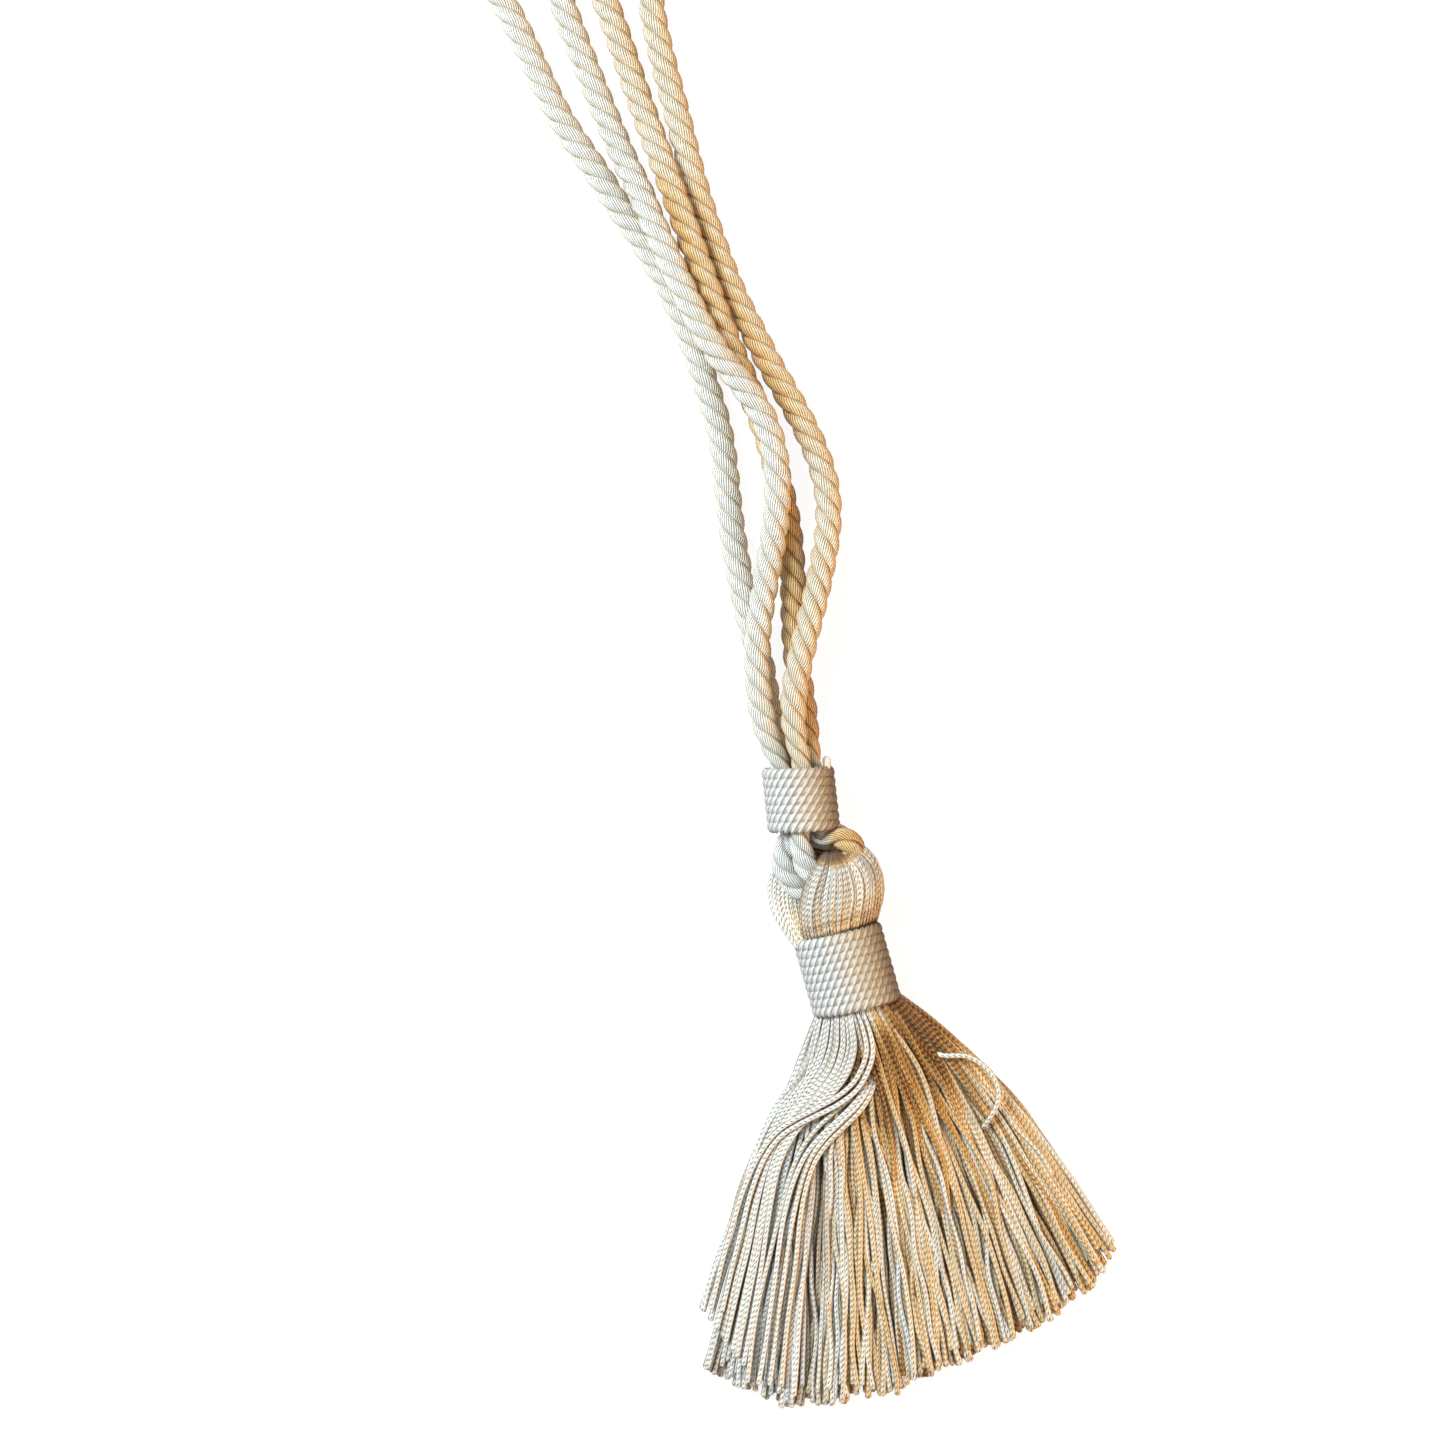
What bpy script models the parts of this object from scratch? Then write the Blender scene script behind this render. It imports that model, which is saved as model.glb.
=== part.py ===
"""Tassel tieback of twisted satin rope, lying flat.

Two rope loops run into a wound binding. Below it two rope bights make an eye, and a hank
of yarn is folded over the eye, bound at the neck and cut to a fringe.

X is to the right, Y towards the loops and Z up from the surface the tieback lies on.
The origin is on the flat underside of the neck binding. Lengths are in millimetres.
"""
import math

import bmesh
import bpy
import numpy as np

MM = 0.001
COLLECTION = "tassel_tieback"
WELD = 1e-6
PIECE_GAP = 0.3

# Rope: three strands laid up left-handed
ROPE_RADIUS = 4.0
ROPE_GROOVE = 0.74
ROPE_STRANDS = 3
ROPE_LAY = 19.0
STEPS_PER_LAY = 7
BOUND_ROPE_RADIUS = 3.1
EYE_ROPE_RADIUS = 3.7
SQUEEZE_LENGTH = 16.0
EYE_SQUEEZE_LENGTH = 7.0
MOUTH_LEAD = 2.0
SOFTENING = 10
EYE_SOFTENING = 3
SETTLING_ROUNDS = 220
SETTLING_SHARE = 0.35
ROUTE_CLEARANCE = 0.45
SURFACE_CLEARANCE = 0.1
NEAR_ALONG_ROPE = 3 * ROPE_RADIUS

# Wound bindings
UPPER_CENTRE = (-13.5, 49.8)
UPPER_TILT = 6.2
UPPER_LENGTH = 17.7
UPPER_TURNS = 7
UPPER_LUMPS = 14
UPPER_BORE = 8.1
NECK_TILT = 15.7
NECK_LENGTH = 22.2
NECK_TURNS = 9
NECK_LUMPS = 16
NECK_BORE = 10.65
NECK_FLATTENING = 0.81
CORD_THICKNESS = 2.5
TURN_GROOVE = 0.6
LUMP_HEIGHT = 0.22
FLAT_DEPTH = 0.3
# Cut end of the whipping cord, at the top right of the upper binding
CORD_END_RADIUS = 1.35
CORD_END_STRETCH = 2.0
CORD_END_STANDS_OUT = 0.6
CORD_END_ASIDE = 8.3
CORD_END_ABOVE_AXIS = 4.0
CORD_END_LEAN = -12.0
CORD_END_SEGMENTS = 10
CORD_END_RINGS = 6

# Where the four ropes sit in the upper binding: angle about its axis, seen from the eye side
CLUSTER_RADIUS = 4.6
LOOP_SEATS = {"left_front": 160.0, "left_back": 250.0, "right_front": 70.0, "right_back": -20.0}
EYE_SEATS = {"left_outer": 200.0, "left_inner": 110.0, "right_inner": 20.0, "right_outer": -70.0}

# Routes chosen by hand: across, along and height of the rope's middle
LOOP_LEFT_ROUTE = [
    (-23.6, 67.7, 12.1), (-25.4, 76.5, 12.4), (-26.3, 85.8, 12.4),
    (-26.6, 95.2, 12.4), (-26.3, 102.3, 12.0), (-24.2, 110.5, 9.9),
    (-20.7, 130.1, 11.7), (-19.9, 142.7, 12.5), (-21.9, 157.3, 12.5), (-28.9, 169.4, 12.4),
    (-34.5, 175.2, 12.0), (-42.1, 186.3, 14.3), (-49.4, 201.3, 14.2), (-55.9, 216.2, 12.2),
    (-63.5, 233.5, 5.6), (-70.5, 250.2, 4.1), (-77.3, 267.2, 4.1), (-83.7, 283.9, 4.1),
    (-89.9, 306.8, 4.1), (-95.7, 326.9, 4.1), (-104.1, 344.2, 4.1), (-114.6, 351.9, 4.1),
    (-127.4, 349.9, 4.1), (-135.1, 339.4, 4.1), (-133.1, 326.6, 4.1), (-123.3, 312.7, 4.1),
    (-110.7, 297.2, 4.1), (-100.1, 283.9, 4.1), (-84.6, 250.2, 4.1), (-72.9, 233.5, 4.1),
    (-61.2, 216.2, 4.1), (-52.4, 201.3, 4.1), (-45.9, 186.3, 4.1), (-36.6, 157.3, 4.1),
    (-33.9, 130.1, 4.1), (-30.5, 110.5, 4.1), (-26.3, 95.2, 4.1), (-23.9, 85.8, 4.1),
    (-23.4, 76.5, 4.1), (-20.6, 67.7, 4.3)]
LOOP_RIGHT_ROUTE = [
    (-15.8, 67.7, 13.0), (-16.3, 76.5, 12.1), (-14.9, 85.8, 12.5),
    (-12.8, 95.2, 12.4), (-11.1, 102.3, 11.3), (-8.7, 110.5, 9.3),
    (-4.8, 130.1, 4.2), (-5.2, 142.7, 4.1), (-10.8, 157.3, 4.1), (-17.8, 169.4, 4.1),
    (-21.0, 175.2, 4.1), (-27.8, 186.3, 4.1), (-34.5, 201.3, 4.1), (-40.1, 216.2, 4.1),
    (-45.5, 233.5, 4.1), (-49.4, 250.2, 4.1), (-54.1, 267.2, 4.1), (-57.9, 283.9, 4.1),
    (-57.9, 305.6, 4.1), (-55.8, 325.8, 4.1), (-54.8, 342.8, 4.1), (-60.7, 354.3, 4.1),
    (-73.1, 358.3, 4.1), (-84.6, 352.5, 4.1), (-88.6, 340.0, 4.1), (-85.4, 321.0, 4.1),
    (-78.5, 301.4, 4.1), (-70.4, 283.9, 4.1), (-59.1, 250.2, 4.3), (-53.0, 233.5, 8.8),
    (-46.8, 216.2, 10.0), (-41.5, 201.3, 9.7), (-35.7, 186.3, 8.0), (-30.7, 175.2, 4.3),
    (-23.2, 157.3, 4.1), (-16.6, 130.1, 4.1), (-15.4, 110.5, 4.1), (-15.2, 95.2, 4.1),
    (-14.0, 85.8, 4.1), (-12.5, 76.5, 4.2), (-11.2, 67.7, 5.2)]
EYE_LEFT_ROUTE = [
    (-19.0, 36.8, 8.4), (-19.4, 32.8, 8.6), (-18.4, 28.6, 8.6), (-16.0, 24.9, 8.4),
    (-12.2, 21.6, 7.8), (-7.0, 20.0, 7.0), (-1.8, 21.0, 6.2), (2.4, 24.2, 5.7),
    (4.2, 28.8, 5.6), (3.4, 32.8, 5.6), (0.4, 35.8, 5.4), (-4.8, 37.4, 5.3)]
EYE_RIGHT_ROUTE = [
    (-14.2, 37.2, 14.3), (-13.6, 33.8, 14.5), (-12.2, 30.4, 14.6), (-10.2, 27.2, 14.5),
    (-7.4, 25.0, 14.4), (-4.2, 24.2, 14.2), (-0.8, 25.2, 14.0), (1.8, 27.8, 13.7),
    (2.6, 31.2, 13.6), (1.6, 34.6, 13.3), (-1.2, 37.2, 12.6), (-4.6, 38.8, 11.9)]

# Folded head of the hank, from the neck up: along the neck's axis, aside, half width and height
HEAD_COLUMNS = ("along", "aside", "half_width", "half_height")
HEAD_ROWS = [
    (11.4, 0.0, 10.3, 8.2),
    (13.0, 0.0, 12.9, 9.6),
    (16.2, 0.0, 15.4, 10.9),
    (20.0, 0.3, 16.7, 11.5),
    (24.2, 0.7, 17.0, 11.7),
    (28.7, 0.8, 16.4, 11.5),
    (32.3, 0.9, 14.8, 10.6),
    (34.6, 0.9, 11.8, 8.8),
    (35.9, 0.9, 6.5, 5.0)]
HEAD_TOP = 36.3
YARN_RIDGE = 0.45
NECK_HALF_WIDTH = 10.3
NECK_HALF_HEIGHT = 8.2
# Block that cuts the head's front off at the left, where the eye ropes lie open
FRONT_CUT_SIZE = (30.0, 50.0, 20.0)
FRONT_CUT_MIDDLE = (-27.0, 31.5, 20.0)
FRONT_CUT_TURN = (-24.0, 0.0, -8.0)
CHANNEL_ROUNDNESS = 2

# Fringe: a strand grows from each cell of the neck's cut end
ROOT_COLUMNS = 16
ROOT_ROWS = 9
ROOT_REACH = 2.0
ROOT_HALF_WIDTH = 10.8
ROOT_HALF_HEIGHT = 8.6
ROOT_CORNER = 0.45
ROOT_STRAND_WIDTH = 0.95
WIDENING = 1.5
STRAND_WIDTH = 2.4
STRAND_HEIGHT = 2.05
ROWS_IN_LAYER = 3
LAYER_PITCH = STRAND_HEIGHT + PIECE_GAP
SETTLED_AT = 0.6
STRAND_RINGS = (0.0, 0.10, 0.26, 0.47, 0.72, 1.0)
RAGGED = 0.035
RAGGED_SEED = 11
BOW_LEFT = -5.0
BOW_RIGHT = 17.0
# Edge of the spread fringe about the neck's end: angle from straight down and reach
EDGE_COLUMNS = ("angle", "reach")
EDGE_ROWS = [(-23.3, 116.0), (-10.5, 120.5), (-2.7, 118.0), (6.6, 114.0), (15.3, 110.5),
             (23.0, 109.0), (31.0, 109.0), (39.4, 108.5), (47.8, 104.0)]
# Lock at the upper left that lies over the rest and sweeps out to the edge
LOCK_STRANDS = 8
LOCK_SPREAD = 0.5
LOCK_SHIFT = 7.0
LOCK_LIFT = 2.6
LOCK_SETTLED_AT = 0.55

CREAM = (0.86, 0.80, 0.66)
DEEP_CREAM = (0.80, 0.70, 0.50)
GOLDEN = (0.78, 0.62, 0.38)
SATIN_ROUGHNESS = 0.45


def clear_scene():
    """Start from an empty file."""
    for item in list(bpy.data.objects):
        bpy.data.objects.remove(item, do_unlink=True)


def new_collection(name):
    collection = bpy.data.collections.new(name)
    bpy.context.scene.collection.children.link(collection)
    return collection


def satin(name, colour):
    """Plain satin yarn in one colour."""
    material = bpy.data.materials.new(name)
    material.use_nodes = True
    shader = material.node_tree.nodes["Principled BSDF"]
    shader.inputs["Base Color"].default_value = (*colour, 1.0)
    shader.inputs["Roughness"].default_value = SATIN_ROUGHNESS
    shader.inputs["Metallic"].default_value = 0.0
    return material


def add_object(name, mesh, collection, material=None):
    item = bpy.data.objects.new(name, mesh)
    collection.objects.link(item)
    if material:
        mesh.materials.clear()
        mesh.materials.append(material)
    return item


def add_guide(name, mesh, collection):
    """A shape that only cuts or joins others."""
    item = add_object(name, mesh, collection)
    item.hide_render = True
    item.display_type = "WIRE"
    return item


def keep_as_guide(item, collection):
    """Move an object made by an operator to the guides."""
    for owner in list(item.users_collection):
        owner.objects.unlink(item)
    collection.objects.link(item)
    item.hide_render = True
    item.display_type = "WIRE"


def face_out(mesh):
    """Turn all of a mesh's faces outwards."""
    shape = bmesh.new()
    shape.from_mesh(mesh)
    bmesh.ops.recalc_face_normals(shape, faces=shape.faces)
    shape.to_mesh(mesh)
    shape.free()


def solid_mesh(item):
    """The object's shape with its bevel and modifiers, welded at the caps, facing out."""
    bpy.context.view_layer.update()
    graph = bpy.context.evaluated_depsgraph_get()
    mesh = bpy.data.meshes.new_from_object(item.evaluated_get(graph))
    shape = bmesh.new()
    shape.from_mesh(mesh)
    bmesh.ops.remove_doubles(shape, verts=shape.verts, dist=WELD)
    bmesh.ops.recalc_face_normals(shape, faces=shape.faces)
    shape.to_mesh(mesh)
    shape.free()
    return mesh


def axis_frame(tilt):
    """Unit directions across and along a piece whose axis leans left of Y by tilt degrees."""
    lean = math.radians(tilt)
    across = np.array([math.cos(lean), math.sin(lean), 0.0])
    along = np.array([-math.sin(lean), math.cos(lean), 0.0])
    return across, along


def place(centre, tilt, along, across, height):
    """World points, in millimetres, from places along and across a tilted axis."""
    side, axis = axis_frame(tilt)
    start = np.array([centre[0], centre[1], 0.0])
    flat = start + np.multiply.outer(along, axis) + np.multiply.outer(across, side)
    return flat + np.multiply.outer(height, np.array([0.0, 0.0, 1.0]))


# Ropes

def even_steps(points, step):
    """Points at even distances, about a step apart, on the line through the given ones."""
    points = np.array(points, dtype=float)
    length = np.concatenate([[0.0], np.cumsum(np.linalg.norm(np.diff(points, axis=0), axis=1))])
    wanted = np.linspace(0.0, length[-1], round(length[-1] / step) + 1)
    return np.stack([np.interp(wanted, length, points[:, k]) for k in range(3)], axis=1)


def travelled(route):
    """Distance along a route at each of its points."""
    return np.concatenate([[0.0], np.cumsum(np.linalg.norm(np.diff(route, axis=0), axis=1))])


def held_in_binding(route):
    """True for the points on the straight stretches at both ends, which stay where they are."""
    distance = travelled(route)
    return np.minimum(distance, distance[-1] - distance) < UPPER_LENGTH / 2 + MOUTH_LEAD


def soft_route(points, step, passes):
    """A smooth curve through hand-chosen points.

    Even steps along the straight runs, softened in passes: each pass moves every point
    half way to the middle of its two neighbours.
    """
    route = even_steps(points, step)
    held = held_in_binding(route)
    for _ in range(passes):
        middle = (np.roll(route, 1, axis=0) + np.roll(route, -1, axis=0)) / 2
        route = np.where(held[:, None], route, (route + middle) / 2)
    return even_steps(route, step)


def settle(routes, radii):
    """Push ropes that lie too close apart, and up off the surface, as they settle on each other.

    Every round moves each pair of points that are too near a share of what they lack, spreads
    the moves along the ropes by averaging them with their neighbours', and adds them.
    """
    sizes = [len(route) for route in routes]
    points = np.vstack(routes)
    radius = np.concatenate(radii)
    rope = np.repeat(np.arange(len(routes)), sizes)
    distance = np.concatenate([travelled(route) for route in routes])
    held = np.concatenate([held_in_binding(route) for route in routes])
    need = radius[:, None] + radius[None, :] + ROUTE_CLEARANCE
    neighbours = (rope[:, None] == rope[None, :]) & (
        np.abs(distance[:, None] - distance[None, :]) < NEAR_ALONG_ROPE)
    need[neighbours] = 0.0
    first = np.concatenate([[True], rope[1:] != rope[:-1]])
    last = np.concatenate([rope[1:] != rope[:-1], [True]])
    for _ in range(SETTLING_ROUNDS):
        gap = points[:, None] - points[None, :]
        far = np.linalg.norm(gap, axis=2)
        lack = np.clip(need - far, 0.0, None)
        far[far < WELD] = 1.0
        move = SETTLING_SHARE * (lack / far)[:, :, None] * gap
        move = move.sum(axis=1)
        move[held] = 0.0
        for _ in range(2):
            before = np.where(first[:, None], move, np.roll(move, 1, axis=0))
            after = np.where(last[:, None], move, np.roll(move, -1, axis=0))
            move = (before + 2 * move + after) / 4
            move[held] = 0.0
        points = points + move
        points[:, 2] = np.maximum(points[:, 2], radius + SURFACE_CLEARANCE)
    return np.split(points, np.cumsum(sizes)[:-1])


def seat(angle, end):
    """Points on a rope's straight stretch inside the upper binding.

    end is 1 for the loops' side and -1 for the eye's side. The ropes from both sides
    meet face to face in the middle of the binding.
    """
    turn = math.radians(angle)
    across = CLUSTER_RADIUS * math.cos(turn)
    height = upper_axis_height() + CLUSTER_RADIUS * math.sin(turn)
    inner = PIECE_GAP / 2
    mouth = UPPER_LENGTH / 2 + MOUTH_LEAD
    return [tuple(place(UPPER_CENTRE, UPPER_TILT, end * along, across, height))
            for along in (inner, mouth)]


def upper_axis_height():
    return UPPER_BORE + CORD_THICKNESS - TURN_GROOVE - FLAT_DEPTH


def star_profile(collection):
    """Cross-section of the rope: crests at the strands, grooves between them."""
    curve = bpy.data.curves.new("rope_section", "CURVE")
    curve.dimensions = "2D"
    spline = curve.splines.new("POLY")
    corners = 2 * ROPE_STRANDS
    spline.points.add(corners - 1)
    for k, point in enumerate(spline.points):
        reach = 1.0 if k % 2 == 0 else ROPE_GROOVE
        angle = math.tau * k / corners
        point.co = (reach * math.cos(angle), reach * math.sin(angle), 0.0, 1.0)
    spline.use_cyclic_u = True
    return add_guide("rope_section", curve, collection)


def rope_radii(distance, radius, squeeze_length):
    """Radius along a rope that is squeezed to BOUND_ROPE_RADIUS in the binding at both ends."""
    ends = np.minimum(distance, distance[-1] - distance) - UPPER_LENGTH / 2 - MOUTH_LEAD
    free = np.clip(ends / squeeze_length, 0.0, 1.0)
    return BOUND_ROPE_RADIUS + (radius - BOUND_ROPE_RADIUS) * free * free * (3 - 2 * free)


def rope_curve(name, route, radii, section, collection, twist):
    """A curve that carries the section along the route and turns it by the lay."""
    curve = bpy.data.curves.new(name, "CURVE")
    curve.dimensions = "3D"
    curve.twist_mode = "Z_UP"
    curve.bevel_mode = "OBJECT"
    curve.bevel_object = section
    curve.use_fill_caps = True
    spline = curve.splines.new("POLY")
    spline.points.add(len(route) - 1)
    for point, place_mm, radius, turn in zip(spline.points, route, radii, twist):
        point.co = (*(float(v) * MM for v in place_mm), 1.0)
        point.radius = float(radius) * MM
        point.tilt = float(turn)
    return add_guide(name, curve, collection)


def rope_routes():
    """Settled routes and radii of the four ropes, by name."""
    step = ROPE_LAY / STEPS_PER_LAY
    loops, eyes = (LOOP_SEATS, 1), (EYE_SEATS, -1)
    table = {
        "loop_left": (LOOP_LEFT_ROUTE, loops, "left_front", "left_back"),
        "loop_right": (LOOP_RIGHT_ROUTE, loops, "right_front", "right_back"),
        "eye_rope_left": (EYE_LEFT_ROUTE, eyes, "left_outer", "right_outer"),
        "eye_rope_right": (EYE_RIGHT_ROUTE, eyes, "left_inner", "right_inner")}
    routes, radii = [], []
    for name, (hand_points, (seats, end), first, last) in table.items():
        is_eye = name.startswith("eye")
        points = seat(seats[first], end) + hand_points + seat(seats[last], end)[::-1]
        route = soft_route(points, step, EYE_SOFTENING if is_eye else SOFTENING)
        routes.append(route)
        radii.append(rope_radii(travelled(route), EYE_ROPE_RADIUS if is_eye else ROPE_RADIUS,
                                EYE_SQUEEZE_LENGTH if is_eye else SQUEEZE_LENGTH))
    return dict(zip(table, zip(settle(routes, radii), radii)))


def make_rope(name, route, radii, section, collections, material):
    parts, guides = collections
    twist = -math.tau * travelled(route) / ROPE_LAY
    guide = rope_curve(name + "_route", route, radii, section, guides, twist)
    mesh = solid_mesh(guide)
    bpy.data.objects.remove(guide, do_unlink=True)
    return add_object(name, mesh, parts, material)


# Wound bindings

def wall_section(bore, length, turns):
    """Points of a binding's wall, one ridge for each turn of cord, as a closed outline."""
    outer = bore + CORD_THICKNESS
    rows = [(bore, -length / 2), (bore, length / 2)]
    for k in range(2 * turns, -1, -1):
        reach = outer if k % 2 else outer - TURN_GROOVE
        rows.append((reach, -length / 2 + k * length / (2 * turns)))
    return rows


def turned_mesh(name, rows, steps, collection):
    """The outline turned once round Z with a Screw modifier."""
    mesh = bpy.data.meshes.new(name + "_section")
    points = [(r * MM, 0.0, z * MM) for r, z in rows]
    edges = [(k, (k + 1) % len(rows)) for k in range(len(rows))]
    mesh.from_pydata(points, edges, [])
    item = add_guide(name + "_section", mesh, collection)
    screw = item.modifiers.new("turn", "SCREW")
    screw.steps = steps
    screw.render_steps = steps
    screw.use_merge_vertices = True
    screw.merge_threshold = WELD
    solid = solid_mesh(item)
    bpy.data.objects.remove(item, do_unlink=True)
    return solid


def make_binding(name, centre, tilt, bore, length, turns, lumps, flattening, collections, material):
    """A whipping of plied cord: turned, lumped by the cord's plies, laid down and flattened."""
    parts, guides = collections
    steps = 2 * lumps
    mesh = turned_mesh(name, wall_section(bore, length, turns), steps, guides)
    points = np.empty(3 * len(mesh.vertices))
    mesh.vertices.foreach_get("co", points)
    points = points.reshape(-1, 3) / MM
    reach = np.hypot(points[:, 0], points[:, 1])
    angle = np.arctan2(points[:, 1], points[:, 0])
    turn_number = np.floor((points[:, 2] + length / 2) / (length / turns))
    crest = reach > bore + CORD_THICKNESS - TURN_GROOVE / 2
    lump = LUMP_HEIGHT * np.where(crest, np.cos(lumps * angle + math.pi * turn_number), 0.0)
    # Half a step of turn puts a level facet under the binding
    angle = angle + math.pi / steps
    reach = reach + lump
    axis_height = flattening * (bore + CORD_THICKNESS - TURN_GROOVE) - FLAT_DEPTH
    height = np.maximum(axis_height + flattening * reach * np.sin(angle), 0.0)
    side, axis = axis_frame(tilt)
    start = np.array([centre[0], centre[1], 0.0])
    world = (start + np.outer(reach * np.cos(angle), side) + np.outer(points[:, 2], axis)
             + np.outer(height, [0.0, 0.0, 1.0]))
    mesh.vertices.foreach_set("co", (world * MM).ravel())
    mesh.update()
    face_out(mesh)
    return add_object(name, mesh, parts, material)


def add_cord_end(binding, guides):
    """The short cut end of the whipping cord, standing out of the top of the upper binding."""
    middle = place(UPPER_CENTRE, UPPER_TILT, UPPER_LENGTH / 2 + CORD_END_STANDS_OUT,
                   CORD_END_ASIDE, upper_axis_height() + CORD_END_ABOVE_AXIS) * MM
    bpy.ops.mesh.primitive_uv_sphere_add(segments=CORD_END_SEGMENTS, ring_count=CORD_END_RINGS,
                                         radius=CORD_END_RADIUS * MM)
    end = bpy.context.object
    end.name = "cord_end"
    end.location = middle
    # The sphere's poles come to lie along the binding's axis
    end.rotation_euler = (math.radians(-90.0), 0.0, math.radians(UPPER_TILT + CORD_END_LEAN))
    end.scale = (1.0, 1.0, CORD_END_STRETCH)
    keep_as_guide(end, guides)
    join = binding.modifiers.new("cord_end", "BOOLEAN")
    join.operation = "UNION"
    join.object = end


# Tassel

def square_to_oval(u, v, roundness):
    """Map a square grid into an oval: roundness 1 gives an ellipse, less a rounded oblong."""
    return u * np.sqrt(1 - roundness * v * v / 2), v * np.sqrt(1 - roundness * u * u / 2)


def boundary_order():
    """Grid indices once round the edge of the root grid, from its lower left corner."""
    across = ROOT_COLUMNS + 1
    bottom = [(0, i) for i in range(ROOT_COLUMNS)]
    right = [(j, ROOT_COLUMNS) for j in range(ROOT_ROWS)]
    top = [(ROOT_ROWS, i) for i in range(ROOT_COLUMNS, 0, -1)]
    left = [(j, 0) for j in range(ROOT_ROWS, 0, -1)]
    return np.array([row * across + column for row, column in bottom + right + top + left])


def neck_axis_height():
    return NECK_FLATTENING * (NECK_BORE + CORD_THICKNESS - TURN_GROOVE) - FLAT_DEPTH


def body_ring(u, v, row):
    """One ring of the hank's body: an oval, with every second point drawn in between yarns."""
    size = dict(zip(HEAD_COLUMNS, row))
    in_neck = size["half_width"] <= NECK_HALF_WIDTH and size["along"] <= HEAD_ROWS[0][0]
    ridge = 0.0 if in_neck else YARN_RIDGE
    inset = np.where(np.arange(len(u)) % 2 == 0, 0.0, ridge)
    x, z = square_to_oval(u, v, 1.0)
    middle = neck_axis_height() if in_neck else size["half_height"] - FLAT_DEPTH
    height = np.maximum(middle + z * (size["half_height"] - inset), 0.0)
    along = np.full(len(u), size["along"])
    return place((0.0, 0.0), NECK_TILT, along, size["aside"] + x * (size["half_width"] - inset), height)


def edge_reach(angle):
    table = np.array(EDGE_ROWS)
    return np.interp(angle, table[:, EDGE_COLUMNS.index("angle")],
                     table[:, EDGE_COLUMNS.index("reach")])


def ease(t):
    """Smooth step from 0 to 1."""
    t = np.clip(t, 0.0, 1.0)
    return t * t * (3 - 2 * t)


def heading(angle):
    """Plan direction at an angle from straight down, in degrees, positive to the right."""
    turn = np.radians(angle)
    return np.stack([np.sin(turn), -np.cos(turn)], axis=-1)


def strand_rings(column, row, root_x, root_z):
    """Three-cornered rings of all strands, as strands x rings x 3 corners x 3.

    In plan a strand is a cubic Bezier curve from its root to its tip on the fringe's edge.
    Its foot drops from the root to its layer on the surface: the rows of one layer
    come to lie side by side, and the layers on each other.
    """
    rng = np.random.default_rng(RAGGED_SEED)
    count = len(column)
    total = ROOT_COLUMNS * ROWS_IN_LAYER
    layer, place_in_layer = row // ROWS_IN_LAYER, row % ROWS_IN_LAYER
    share = (column * ROWS_IN_LAYER + place_in_layer + 0.5) / total
    in_lock = (row == ROOT_ROWS - 1) & (column < LOCK_STRANDS)
    share = np.where(in_lock, LOCK_SPREAD * (column + 0.5) / LOCK_STRANDS, share)
    layer = np.where(in_lock, layer + 1, layer)

    first, last = EDGE_ROWS[0][0], EDGE_ROWS[-1][0]
    angle = first + share * (last - first)
    reach = edge_reach(angle) * (1 - RAGGED * rng.random(count))
    neck_end = place((0.0, 0.0), NECK_TILT, -NECK_LENGTH / 2, 0.0, 0.0)[:2]
    root = place((0.0, 0.0), NECK_TILT, np.full(count, -NECK_LENGTH / 2 - ROOT_REACH), root_x,
                 np.zeros(count))[:, :2]
    tip = neck_end + reach[:, None] * heading(angle)
    chord = tip - root
    length = np.linalg.norm(chord, axis=1)
    chord_angle = np.degrees(np.arctan2(chord[:, 0], -chord[:, 1]))
    bow = BOW_LEFT + (BOW_RIGHT - BOW_LEFT) * share
    arm = (length / 3)[:, None]
    leave = root + arm * heading(chord_angle + bow)
    arrive = tip - arm * heading(chord_angle - bow / 2)

    s = np.array(STRAND_RINGS)[None, :]
    t = s[..., None]
    plan = ((1 - t) ** 3 * root[:, None] + 3 * t * (1 - t) ** 2 * leave[:, None]
            + 3 * t * t * (1 - t) * arrive[:, None] + t ** 3 * tip[:, None])
    slope = (3 * (1 - t) ** 2 * (leave - root)[:, None] + 6 * t * (1 - t) * (arrive - leave)[:, None]
             + 3 * t * t * (tip - arrive)[:, None])
    slope /= np.linalg.norm(slope, axis=2, keepdims=True)
    normal = np.stack([-slope[..., 1], slope[..., 0]], axis=-1)
    normal[:, 0] = axis_frame(NECK_TILT)[0][:2]

    hump = np.where(in_lock[:, None], np.sin(math.pi * np.clip(s / LOCK_SETTLED_AT, 0, 1)) ** 2, 0.0)
    plan = plan + (LOCK_SHIFT * hump)[..., None] * axis_frame(NECK_TILT)[0][:2]
    width = ROOT_STRAND_WIDTH + (STRAND_WIDTH - ROOT_STRAND_WIDTH) * s ** WIDENING
    tall = width * STRAND_HEIGHT / STRAND_WIDTH
    settled = ease(s / SETTLED_AT)
    foot = (1 - settled) * (root_z[:, None] - tall[:, :1] / 2) + settled * (layer * LAYER_PITCH)[:, None]
    foot = foot + LOCK_LIFT * hump

    rings = np.empty((count, s.shape[1], 3, 3))
    for corner, (aside, up) in enumerate(((-0.5, 0.0), (0.5, 0.0), (0.0, 1.0))):
        rings[:, :, corner, :2] = plan + normal * (aside * width)[..., None]
        rings[:, :, corner, 2] = foot + up * tall
    return rings


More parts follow.
